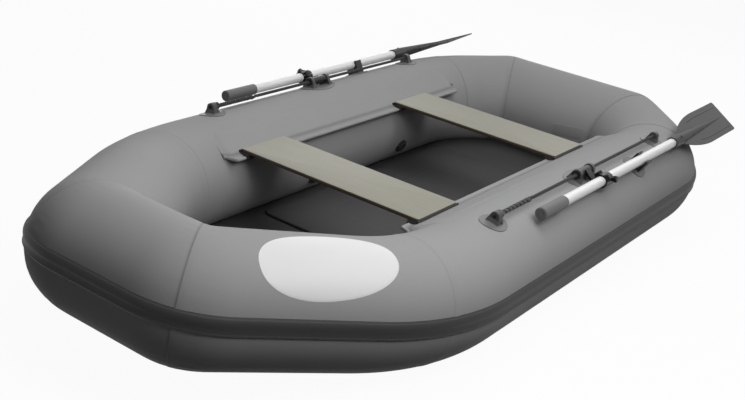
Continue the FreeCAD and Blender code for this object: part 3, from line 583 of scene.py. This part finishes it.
def ringGrid(panel, share, theta, radius=ring["radius"]):
    # Points of a panel at this angle and radius about its centre line: share is -1 to 0 over its first half
    # round, 0 to 1 over its straight and 1 to 2 over its last half round
    share, theta, radius = np.broadcast_arrays(share, theta, radius)
    spoke = np.cos(theta)[..., None] * outward[panel] + np.sin(theta)[..., None] * upward[panel]
    offset = radius[..., None] * spoke
    first = cornerArc(panel - 1, panel, offset, 0.5 + 0.5 * np.clip(share + 1, 0, 1))
    last = cornerArc(panel, panel, offset, 0.5 * np.clip(share - 1, 0, 1))
    low = cornerArc(panel - 1, panel, offset, np.ones(share.shape))
    high = cornerArc(panel, panel, offset, np.zeros(share.shape))
    share = share[..., None]
    line = low + (high - low) * np.clip(share, 0, 1)
    return np.where(share < 0, first, np.where(share > 1, last, line))


def alongLengths(grid):
    # Distance run along each generator from the panel's first row
    steps = np.linalg.norm(np.diff(grid, axis=0), axis=-1)
    return np.vstack([np.zeros(grid.shape[1]), np.cumsum(steps, 0)])


def evenShares(panel, theta):
    # Rows at set distances from both ends of each generator: close together over the laps, even elsewhere
    share = np.linspace(-1, 2, ring["samples"])[:, None]
    run = alongLengths(ringGrid(panel, share, theta))
    lap = np.array(ring["lapRows"]) * ring["lapWidth"]
    rows = int(run[-1].max() / ring["rowStep"])
    middle = np.linspace(0, 1, rows)[1:-1, None]
    last = run[-1:] - lap[::-1, None]
    wanted = np.concatenate([lap[:, None] + 0 * last[:1], lap[-1] + (last[:1] - lap[-1]) * middle, last])
    columns = [np.interp(wanted[:, k], run[:, k], share[:, 0]) for k in range(theta.shape[1])]
    return np.stack(columns, 1)


def makePanel(panel, s):
    # A circle carried along the panel: raised where it laps over the panel before and under the one after,
    # puckered by waves round it near the mitres, and swollen by a bell near the port side's bow end
    theta = fullTurn(s["around"])[None, :]
    share = evenShares(panel, theta)
    run = alongLengths(ringGrid(panel, share, theta))
    fromEnd = run[-1:] - run
    name = panelNames[panel]
    rise, full = np.array(s["lapEdge"]) * s["lapWidth"] * (s["bowPortLap"] if name == "bow_port" else 1)
    lap = np.maximum(1 - smoothStep(rise, full, run), 1 - smoothStep(0, s["lapUnder"], fromEnd))
    radius = s["radius"] + s["lapHeight"] * lap
    for k, distance in ((panel - 1, run), (panel, fromEnd)):
        if k in mitres:
            fold = np.cos(s["puckers"] * theta + 3 * np.sin(5 * theta + k))
            fold = fold * (0.6 + 0.4 * np.cos(3 * theta + 2 * k))
            near = bell(distance, s["puckerAt"], s["puckerAt"]) * smoothStep(*s["puckerFrom"], distance)
            radius = radius + s["puckerHeight"] * fold * near
    if name == "side_port":
        height = s["swell"] * bell(theta, s["swellAt"], s["swellSpread"])
        radius = radius + height * bell(fromEnd, s["swellBack"], s["swellWidth"])
    uv = np.stack([run, np.broadcast_to(theta * s["radius"], run.shape)], -1).reshape(-1, 2)
    # Painted shade: a thin dark line along the edge where this panel laps over the one before
    seam = bell(run, full, s["seamWidth"]).ravel()
    makePiece(
        "skin_" + name, tubeShell(ringGrid(panel, share, theta, radius)), "hull", materials["hull"],
        ["tube_" + name], withEnds(uv), {"seam": withEnds(seam)}
    )


for number in range(8):
    makePanel(number, ring)
print("tube panels made")

rubRail = {
    "low": -4.0, "high": 12.5, "thickness": 0.0035, "ridge": 0.0034, "under": 0.0015,
    "hump": (0.42, 0.92), "humpPower": 0.6, "lip": 0.11, "lipWidth": 0.035, "lipShare": 0.45,
    "skirt": 0.04, "edge": 0.55, "edgeWidth": 0.03, "dip": 3.5, "dipFrom": 0.95, "dipAt": 0.62, "dipTo": -0.2,
    "marks": (0, 0.015, 0.04, 0.07, 0.09, 0.11, 0.13, 0.15, 0.18, 0.24, 0.32, 0.4, 0.43, 0.46, 0.5, 0.56,
              0.64, 0.72, 0.8, 0.86, 0.89, 0.91, 0.93, 0.96, 0.985, 1),
}


def makeRubRail(s):
    # A closed band profile carried round all eight panels: a fuller half sine wave for the wide hump above, a
    # low band below it and a bell for the thin lip along its lower edge; it dips by the starboard shoulder
    share = np.array(s["marks"])
    foot, crest = s["hump"]
    hump = np.sin(math.pi * np.clip((share - foot) / (crest - foot), 0, 1)) ** s["humpPower"]
    skirt = smoothStep(0, s["skirt"], share) * smoothStep(0, s["skirt"], 1 - share)
    base = 1 - (1 - s["edge"]) * smoothStep(crest - s["edgeWidth"], crest, share)
    lip = s["lipShare"] * bell(share, s["lip"], s["lipWidth"])
    height = s["thickness"] * skirt * base + s["ridge"] * (hump + lip)
    back = np.linspace(1, 0, 7)
    angle = np.radians(s["low"] + (s["high"] - s["low"]) * np.concatenate([share, back]))[None, :]
    radius = ring["radius"] + np.concatenate([height, np.full(len(back), -s["under"])])[None, :]
    rows = []
    for panel in range(8):
        shares = evenShares(panel, np.radians([[s["low"]]]))[1:]
        x, y = np.moveaxis(ringGrid(panel, shares, angle, radius), -1, 0)[:2]
        dip = smoothStep(s["dipFrom"], s["dipAt"], x) * smoothStep(s["dipTo"], s["dipAt"], x) * (y < 0)
        rows.append(ringGrid(panel, shares, angle - dip * math.radians(s["dip"]), radius))
    grid = np.vstack(rows)
    shell = grid.reshape(-1, 3), gridQuads(*grid.shape[:2], wrapRows=True, wrapCols=True).tolist()
    makePiece("rubRail", shell, "hull", materials["rail"], ["rub_rail"], sharpAngle=60)


makeRubRail(rubRail)
print("rub rail made")

floorSheet = {
    "height": 0.0225, "thickness": 0.0012, "sag": 0.002, "ripple": 0.0016, "edgeSink": 0.0015, "tuck": 0.008,
    "rows": {7: 40, 0: 90, 1: 50}, "cols": 61, "endHalf": 0.02, "fade": 0.1, "waves": (9, 4, 6, 7, 3),
    "flat": (0.78, 2.32), "area": 1.60,
}


def makeFloorSheet(s):
    # Straight lines drawn across between the port and starboard joints with the tubes, and a little slack,
    # waves less a sag, that dies out towards the bow and stern, where the sheet is tucked under the tube
    theta = math.pi + math.asin((ring["radius"] - s["height"]) / ring["radius"])
    joints = []
    for panel, rows in s["rows"].items():
        share = np.linspace(-1, 2, rows)[:, None]
        joint = ringGrid(panel, share, theta, ring["radius"] - s["edgeSink"])[:, 0]
        joints.append(joint[1:] if joints else joint)
    edge = np.vstack(joints)
    edge = edge[edge[:, 1] > s["endHalf"]]
    x = edge[:, :1]
    slack = smoothStep(x[0], x[0] + s["fade"], x) * smoothStep(x[-1], x[-1] - s["fade"], x)
    edge[0, 0] -= s["tuck"]
    edge[-1, 0] += s["tuck"]
    v = np.linspace(-1, 1, s["cols"])
    x, y, z = np.broadcast_arrays(edge[:, :1], edge[:, 1:2] * v, edge[:, 2:3])
    a, b, c, d, e = s["waves"]
    ripple = np.sin(a * x + b * np.sin(c * y)) * np.sin(d * y + e * x)
    z = z + (1 - v ** 4) * slack * (s["ripple"] * ripple - s["sag"])
    shell = np.stack([x, y, z], -1).reshape(-1, 3), gridQuads(*x.shape).tolist()
    piece = addMesh("floorSheet", shell, materials["floor"], shell[0][:, :2])
    solid = piece.modifiers.new("thickness", "SOLIDIFY")
    solid.thickness = s["thickness"]
    solid.offset = 0
    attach(piece, "hull")
    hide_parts("floor_sheet")


makeFloorSheet(floorSheet)

floorMat = {
    "bow": 0.265, "stern": -0.880, "half": 0.335, "low": 0.0233, "high": 0.0323, "corner": 0.03,
    "edge": 0.004, "fold": 0.229, "foldDepth": 0.0012, "foldWidth": 0.006, "foldReach": 0.5,
    "crown": 0.0008, "crownWaves": (12, 20), "rings": 60, "innermost": 0.995,
}


def roundedSlab(centre, half, low, high, corner, edge, cols=96, arcReach=0.7):
    # Sections of a rounded rectangle, from the inset underside by quarter rounds at both edges to the inset
    # top; its corners' points are spread by the tangents of even angles and end a little before the sides
    t = fullTurn(cols) + math.pi / cols
    side = np.sign(np.stack([np.cos(t), np.sin(t)], -1))
    spread = np.tan(np.clip(t % (math.pi / 2) - math.pi / 4, -arcReach, arcReach))
    angle = (np.floor(t / (math.pi / 2)) + 0.5 + spread / 2) * (math.pi / 2)
    a = np.linspace(0, math.pi / 2, 5)
    inset = edge * (1 - np.concatenate([np.sin(a), np.cos(a)]))[:, None, None]
    z = np.concatenate([low + edge * (1 - np.cos(a)), high - edge * (1 - np.sin(a))])[:, None, None]
    r = corner - inset
    flat = centre + side * (half - inset - r) + r * np.stack([np.cos(angle), np.sin(angle)], -1)
    return np.concatenate([flat, np.broadcast_to(z, flat.shape[:2] + (1,))], -1)


def makeMat(s):
    # A rounded slab with rings drawn in over its top, which has slight waves and creases a fold apart
    middle = (s["stern"] + s["bow"]) / 2
    half = np.array([(s["bow"] - s["stern"]) / 2, s["half"]])
    grid = roundedSlab(np.array([middle, 0]), half, s["low"], s["high"], s["corner"], s["edge"])
    rim, centre = grid[-1], np.array([middle, 0, s["high"]])
    share = np.linspace(0, s["innermost"], s["rings"])[1:, None, None]
    grid = np.concatenate([grid, rim + (centre - rim) * share])
    x, y, z = np.moveaxis(grid, -1, 0)
    onTop = smoothStep(s["low"] + s["edge"], s["high"], z)
    folds = (x - s["stern"]) / s["fold"]
    beside = (folds - np.round(folds)) * s["fold"]
    crease = bell(beside, 0, s["foldWidth"]) * (np.abs(x - middle) < s["foldReach"])
    wave = np.sin(x * s["crownWaves"][0]) * np.cos(y * s["crownWaves"][1])
    grid[..., 2] += onTop * (s["crown"] * wave - s["foldDepth"] * crease)
    shell = tubeShell(grid)
    uv = shell[0][:, :2]
    piece = makePiece("floorMat", shell, "hull", materials["mat"], ["floor_mat"], uv)


makeMat(floorMat)
print("floor made")

seat = {
    "top": 0.294, "thickness": 0.012, "half": 0.3155, "width": 0.213, "corner": 0.006, "edge": 0.0018,
    "plies": (0.00108, 0.00198), "bowX": 0.340, "sternX": -0.536,
}
bead = {"y": 0.292, "z": 0.2715, "radius": 0.0052}
endProfile = {
    "beyond": 0.007, "outerLow": 0.3205, "outerHigh": 0.3180, "inner": 0.3158, "rim": 0.2905, "foot": 0.2860,
    "under": 0.2810, "inboard": 0.283, "clear": 0.0006, "wall": 0.0028, "mouth": (48, 342), "shoulder": 100,
    "cap": 0.0006,
}


def makePlank(name, node, body, x, s):
    # A rounded slab across the boat, whose plies show from a set depth below its top
    low, half = s["top"] - s["thickness"], np.array([s["width"] / 2, s["half"]])
    shell = tubeShell(roundedSlab(np.array([x, 0]), half, low, s["top"], s["corner"], s["edge"]))
    edge = {"edge": smoothStep(*s["plies"], s["top"] - shell[0][:, 2])}
    makePiece(name, shell, body, materials["plywood"], [node], attributes=edge, sharpAngle=50)


def makeEndProfiles(name, node, body, x, s):
    # One outline drawn along the plank's ends: a web, a flange under the plank, a jaw round the rail's bead
    def roundBead(first, last, count, reach):
        turn = np.radians(np.linspace(first, last, count))
        return np.stack([bead["y"] + reach * np.cos(turn), bead["z"] + reach * np.sin(turn)], -1)

    inside = bead["radius"] + s["clear"]
    outside = inside + s["wall"]
    low = seat["top"] - seat["thickness"]
    first, last = s["mouth"]
    outline = np.vstack([
        [(s["outerHigh"], s["rim"]), (s["outerLow"], s["foot"]), (s["inner"], s["under"])],
        roundBead(first, first, 1, outside), roundBead(first, last, 16, inside),
        roundBead(last, s["shoulder"], 13, outside),
        [(s["inboard"], bead["z"] + outside), (s["inboard"], low), (s["inner"], low), (s["inner"], s["rim"])],
    ])
    half = seat["width"] / 2 + s["beyond"]
    shell = drawnShell(outline, [x - half, x - half + s["cap"], x + half - s["cap"], x + half])
    # Painted shade: the profile's cut ends at both edges of the plank are darker
    dark = {"seam": np.tile(np.repeat([1.0, 0.0, 0.0, 1.0], len(outline)), 2)}
    pair = joinShells([shell, mirrorShell(shell)])
    makePiece(name, pair, body, materials["shoe"], [node], attributes=dark, sharpAngle=35)


for end in ("bow", "stern"):
    makePlank(end + "Plank", end + "_seat_plank", end + "_seat", seat[end + "X"], seat)
    makeEndProfiles(end + "EndProfiles", end + "_seat_shoes", end + "_seat", seat[end + "X"], endProfile)
print("seats made")

seatRail = {
    "stern": -0.885, "sternFree": -0.845, "bowFree": 0.486, "bow": 0.515, "rows": (12, 90, 14),
    "half": 0.0008, "sink": 0.0030, "bonded": (112.2, 118.2), "across": (0.3225, 0.2855),
    "bend": (0.3158, 0.2795), "neck": 0.0078, "neckHalf": 0.0014, "neckShare": 0.85, "mouth": 0.62,
    "lying": (129.0, 143.0), "lyingBond": 6.0, "lyingSunk": 0.3, "lyingBead": 0.8,
    "turnFrom": 0.12, "wave": 0.0006, "waves": (31, 2, 13),
}


def onSideTube(angle, height):
    # Points of the port side tube's cross-section, angle from outboard, at this height over its skin
    angle = np.radians(angle)
    reach = ring["radius"] + height
    return np.stack([ring["sideY"] + reach * np.cos(angle), ring["radius"] + reach * np.sin(angle)], -1)


def makeSeatRail(name, node, flipped, s):
    # A strip that leaves the tube at a tangent, bends down under the planks and ends in a bead; at both ends
    # it comes down flat on the tube
    start, leave = s["bonded"]
    centre = np.array([bead["y"], bead["z"]])
    first = onSideTube(np.linspace(start, leave, 5), s["half"] - s["sink"] * np.linspace(1, 0, 5) ** 1.5)
    across, bend = np.array(s["across"]), np.array(s["bend"])
    turns = first[-1] + (across - first[-1]) * np.linspace(s["turnFrom"], 1, 7)[:, None]
    free = np.vstack([first, turns, [bend, centre + unit(bend - centre) * s["neck"], centre]])
    bond = s["lyingBond"]
    angle = np.linspace(s["lying"][0] - bond, s["lying"][1], len(free))
    sunk = np.clip((s["lying"][0] - angle) / bond + s["lyingSunk"], 0, 1)
    lying = onSideTube(angle, s["half"] - s["sink"] * sunk)
    lying[-1] = onSideTube(s["lying"][1], bead["radius"] * s["lyingBead"])
    stops = (s["stern"], s["sternFree"], s["bowFree"], s["bow"])
    x = [np.linspace(a, b, rows)[1:] for a, b, rows in zip(stops, stops[1:], s["rows"])]
    x = np.concatenate([[s["stern"]], *x])[:, None, None]
    w = smoothStep(s["stern"], s["sternFree"], x) * smoothStep(s["bow"], s["bowFree"], x)
    path = lying + (free - lying) * w
    share = np.linspace(0, 1, len(free))
    a, b, c = s["waves"]
    sway = np.sin(a * x[..., 0] + b * np.sin(c * x[..., 0]))
    path[..., 1] += 4 * s["wave"] * w[..., 0] * (share * (1 - share))[None, :] * sway
    way = unit(np.gradient(path, axis=1))
    ahead = unit(path[:, -1] - path[:, -2])
    middle = path[:, -1:].copy()
    path[:, -1] -= ahead * bead["radius"] * s["neckShare"]
    half = np.full((len(free), 1), s["half"])
    half[-2:, 0] = s["neckHalf"], bead["radius"] * math.sqrt(1 - s["neckShare"] ** 2)
    thick = half * np.stack([way[..., 1], -way[..., 0]], -1)
    heading = np.arctan2(ahead[:, 1], ahead[:, 0])[:, None]
    around = heading + np.linspace(s["mouth"] - math.pi, math.pi - s["mouth"], 20)
    tube = middle + bead["radius"] * np.stack([np.cos(around), np.sin(around)], -1)
    section = np.concatenate([path + thick, tube, (path - thick)[:, ::-1]], 1)
    shell = tubeShell(np.concatenate([np.broadcast_to(x, section.shape[:2] + (1,)), section], -1))
    # Painted shade: a dark line down the strip's bend towards the bead
    seam = np.zeros(section.shape[:2])
    seam[:, len(free) - 3] = 1
    if flipped:
        shell = mirrorShell(shell)
    makePiece(
        name, shell, "hull", materials["welt"], [node],
        attributes={"seam": withEnds(seam.ravel())}, sharpAngle=50
    )


makeSeatRail("seatRailPort", "seat_rail_port", False, seatRail)
makeSeatRail("seatRailStarboard", "seat_rail_starboard", True, seatRail)

rope = {
    "radius": 0.0052, "strands": 4, "lay": 0.018, "depth": 0.0008, "around": 16, "step": 0.0024, "tip": 0.004,
    "line": (0.50333, 0.35690), "eyeEnd": 0.3868, "eyeAft": 0.3665, "end": -0.812,
    "twist": 0.0030, "twistRadius": 0.0044, "pitch": 0.022, "twistFrom": 0.350, "twistTo": 0.170,
    "parting": (0.03, 0.02), "fray": 0.0012, "frayLength": 0.05, "rows": (200, 180, 50),
    "hitch": 0.0084, "hitchTurns": 2, "hitchLength": 0.013, "hitchIn": 0.004,
    "foot": ((0.0175, 0.017, -0.022), (0.0160, 0.012, -0.010)),
    "knot": 0.0078, "knotAt": 0.006, "knotHalf": 0.004, "crown": 0.86, "paleCrown": 0.4, "paleTail": 0.6,
}


def smoothPath(points, share=8):
    # Catmull-Rom curve through the points
    p = np.vstack([2 * points[0] - points[1], points, 2 * points[-1] - points[-2]])
    a, b, c, d = (p[k:len(p) - 3 + k, None] for k in range(4))
    t = np.linspace(0, 1, share, endpoint=False)[:, None]
    square, cube = 2 * a - 5 * b + 4 * c - d, 3 * b - a - 3 * c + d
    curve = b + 0.5 * ((c - a) * t + square * t ** 2 + cube * t ** 3)
    return np.vstack([curve.reshape(-1, 3), points[-1:]])


def evenPath(path, step):
    # The same path with its points spaced evenly, and the length run at each
    run = np.concatenate([[0], np.cumsum(np.linalg.norm(np.diff(path, axis=0), axis=1))])
    at = np.linspace(0, run[-1], int(run[-1] / step))
    return np.stack([np.interp(at, run, path[:, i]) for i in range(3)], -1), at[:, None]


def pathTube(path, radius, around):
    # Rings at right angles to a path, turned as little as possible from one to the next
    tangent = unit(np.gradient(path, axis=0))
    sides = [unit(np.cross(tangent[0], (0.1, 0.2, 1.0)))]
    for t in tangent[1:]:
        sides.append(unit(sides[-1] - (sides[-1] @ t) * t))
    sides = np.array(sides)[:, None]
    rise = np.cross(tangent[:, None], sides)
    angle = fullTurn(around)[None, :, None]
    return path[:, None] + radius[..., None] * (np.cos(angle) * sides + np.sin(angle) * rise)


def ropeShell(path, s, thin, knotted):
    # A braid drawn along a path: crossed waves on the radius, thinner where two lines share the room; gives
    # the shell, its map and the crowns of its strands, which carry a painted highlight
    path, run = evenPath(path, s["step"])
    angle = fullTurn(s["around"])[None, :]
    strand, wave = s["strands"] * angle / 2, math.pi * run / s["lay"]
    ridge = np.maximum(np.abs(np.cos(strand + wave)), np.abs(np.cos(strand - wave)))
    fromEnd = run[-1] - run
    radius = s["radius"] + (s["twistRadius"] - s["radius"]) * thin(path[:, :1]) - s["depth"] * (1 - ridge) * 2
    if knotted:
        radius = radius + (s["knot"] - s["radius"]) * bell(fromEnd, s["knotAt"], s["knotHalf"], 4)
    radius = radius * np.sqrt(np.clip(np.minimum(run, fromEnd) / s["tip"], 0.05, 1))
    uv = np.stack(np.broadcast_arrays(run, angle * s["radius"]), -1).reshape(-1, 2)
    crown = smoothStep(s["crown"], 1, ridge).ravel()
    return tubeShell(pathTube(path, radius, s["around"])), withEnds(uv), withEnds(crown)


def makeLifeline(name, node, starboard, s):
    # The standing part from the forward eye aft to its knot, and the tail wound round it after a hitch: both
    # are coils about the line, half a turn apart
    y, z = s["line"]
    top, low = s["twistFrom"], s["twistTo"]
    before, within = s["parting"]

    def shared(x):
        return smoothStep(low - before, low + within, x) * smoothStep(s["eyeAft"], top, x)

    def coil(x, turn, wide):
        return np.stack([x, y + wide * np.cos(turn), z + wide * np.sin(turn)], -1)

    x = np.concatenate([[s["eyeEnd"]], np.linspace(s["eyeAft"], low - before, s["rows"][0]), [s["end"]]])
    standing = coil(x, 2 * math.pi * (x - top) / s["pitch"], s["twist"] * shared(x))
    back = np.linspace(top, low, s["rows"][1])
    wide = s["twist"] + s["fray"] * smoothStep(low + s["frayLength"], low, back)
    tail = coil(back, math.pi + 2 * math.pi * (back - top) / s["pitch"], wide)
    forward = np.linspace(top + s["hitchLength"], top, s["rows"][2])
    wide = s["hitch"] + (s["twist"] - s["hitch"]) * smoothStep(top + s["hitchIn"], top, forward)
    hitch = coil(forward, math.pi + 2 * math.pi * s["hitchTurns"] * (forward - top) / s["hitchLength"], wide)
    foot = smoothPath(np.vstack([np.array([top, y, z]) + np.array(s["foot"]), hitch[:1]]))
    shells, maps, crowns = zip(
        ropeShell(standing, s, shared, True),
        ropeShell(np.vstack([foot[:-1], hitch[:-1], tail]), s, np.ones_like, False),
    )
    # Painted highlight: the port rope's tail paler all along, and every strand's crown paler
    pale = np.repeat([0.0, 0.0 if starboard else s["paleTail"]], [len(uv) for uv in maps])
    pale += s["paleCrown"] * np.concatenate(crowns)
    shell = joinShells(shells)
    if starboard:
        shell = mirrorShell(shell)
    makePiece(
        name, shell, "hull", materials["rope"], [node], np.vstack(maps), {"pale": pale}, sharpAngle=80
    )


makeLifeline("lifelinePort", "lifeline_port", False, rope)
makeLifeline("lifelineStarboard", "lifeline_starboard", True, rope)

bowLabel = {
    "panel": 1, "along": 0.320, "arc": 0.179, "half": (0.190, 0.098), "tilt": -7.6, "power": 2.2,
    "lift": 0.0005,
}
sternPlate = {
    "panel": 6, "along": 0.363, "arc": 0.522, "half": (0.066, 0.021), "tilt": -6.0, "power": 9.0,
    "lift": 0.0004,
}


def makeBlank(name, material, s, points=120, rings=16, sunk=0.0003, borderLift=0.7):
    # A thin rounded sheet wrapped on a tube: a superellipse in lengths along and around the tube, its rim sunk
    turn = fullTurn(points)
    c, r = np.cos(turn), np.sin(turn)
    u = np.sign(c) * np.abs(c) ** (2 / s["power"])
    v = np.sign(r) * np.abs(r) ** (2 / s["power"])
    share = np.concatenate([[1.0, 1.0], np.linspace(0.995, 0.01, rings)])[:, None]
    lift = np.concatenate([[-sunk, s["lift"] * borderLift], np.full(rings, s["lift"])])[:, None, None]
    a, b = share * u * s["half"][0], share * v * s["half"][1]
    tilt = math.radians(s["tilt"])
    run = (s["along"] + a * math.cos(tilt) - b * math.sin(tilt))[..., None]
    angle = ((s["arc"] + a * math.sin(tilt) + b * math.cos(tilt)) / ring["radius"])[..., None]
    k = s["panel"]
    spoke = np.cos(angle) * outward[k] + np.sin(angle) * upward[k]
    shell = tubeShell(corners[k - 1] + along[k] * run + (ring["radius"] + lift) * spoke)
    makePiece(name, shell, "hull", material, sharpAngle=60)


makeBlank("bowBlankPanel", materials["label"], bowLabel)
makeBlank("sternBlankPlate", materials["plate"], sternPlate)
print("seat rails, lifelines and blank panels made")

for end in ("bow", "stern"):
    dress("valve_" + end, materials["valve"])
for side in ("port", "starboard"):
    for name, key in (
        ("oarlock_base", "fitting"), ("oarlock_axle", "axle"), ("oar_holder", "holder"),
        ("swivel_arm", "black"), ("swivel_pin", "pin"), ("oar_clamp", "black"),
        ("clamp_knob", "black"), ("oar_shaft", "shaft"), ("oar_grip", "grip"), ("oar_blade", "blade"),
    ):
        dress(name + "_" + side, materials[key])
    for end in ("bow", "stern"):
        dress("lifeline_lug_" + end + "_" + side, materials["fitting"])

stage = {"size": 40.0, "seen": (1.0, 1.0, 1.0), "bounce": (0.04, 0.04, 0.04), "shade": 0.05}
lampAim = (0.0, 0.0, 0.2)
lamps = {  # place, size and power
    "top": ((0.0, 0.0, 4.0), 2.4, 45),
    "bowNear": ((1.1, 1.6, 1.9), 1.0, 17),
    "lowBackStar": ((-3.0, -3.0, 1.0), 2.4, 15),
    "back": ((-3.8, 0.0, 2.2), 2.4, 16),
    "portNear": ((-0.3, 2.2, 3.2), 1.6, 15),
    "backStar": ((-2.8, -2.4, 2.6), 2.4, 13),
    "portHigh": ((0.2, 1.5, 3.8), 2.4, 8),
    "front": ((4.2, 0.2, 1.4), 2.4, 6),
}


def addLooks(tree, kinds):
    # 1 for a ray of one of these kinds, and 0 for the light that bounces between surfaces
    rays = tree.nodes.new("ShaderNodeLightPath")
    looks = rays.outputs[kinds[0]]
    for kind in kinds[1:]:
        looks = addMath(tree, "MAXIMUM", looks, rays.outputs[kind])
    return looks


def makeStage(s):
    # A flat square floor: white by its own light to rays that look at it, but for a share that keeps the
    # shadow, and dark to light that bounces
    material = bpy.data.materials.new("studioFloor")
    material.use_nodes = True
    tree = material.node_tree
    tree.nodes.clear()
    diffuse = tree.nodes.new("ShaderNodeBsdfDiffuse")
    colour = mixColour(tree, addLooks(tree, ["Is Camera Ray"]), s["bounce"], s["seen"])
    feed(tree, diffuse.inputs["Color"], colour)
    looks = addLooks(tree, ["Is Camera Ray", "Is Glossy Ray", "Is Transmission Ray"])
    mix = tree.nodes.new("ShaderNodeMixShader")
    feed(tree, mix.inputs[0], addMath(tree, "MULTIPLY", looks, 1 - s["shade"]))
    feed(tree, mix.inputs[1], diffuse.outputs[0])
    feed(tree, mix.inputs[2], tree.nodes.new("ShaderNodeEmission").outputs[0])
    feed(tree, tree.nodes.new("ShaderNodeOutputMaterial").inputs[0], mix.outputs[0])
    points = np.array([(-1, -1, 0), (1, -1, 0), (1, 1, 0), (-1, 1, 0)]) * s["size"] / 2
    addMesh("studioFloor", (points, [[0, 1, 2, 3]]), material)


def makeLamp(name, place, size, power):
    # A square lamp turned from its place towards the boat's middle
    lamp = bpy.data.lights.new(name, "AREA")
    lamp.energy = power
    lamp.size = size
    holder = bpy.data.objects.new(name, lamp)
    bpy.context.scene.collection.objects.link(holder)
    holder.location = place
    holder.rotation_euler = (Vector(lampAim) - Vector(place)).to_track_quat("-Z", "Y").to_euler()


def makeWorld():
    # White to rays that look at it, and no light of its own on the boat
    world = bpy.data.worlds.new("studio")
    bpy.context.scene.world = world
    world.use_nodes = True
    tree = world.node_tree
    back = tree.nodes["Background"].inputs
    back["Color"].default_value = (1, 1, 1, 1)
    feed(tree, back["Strength"], addLooks(tree, ["Is Camera Ray", "Is Transmission Ray", "Is Glossy Ray"]))


makeStage(stage)
for lampName, values in lamps.items():
    makeLamp(lampName, *values)
makeWorld()
print("stage made")
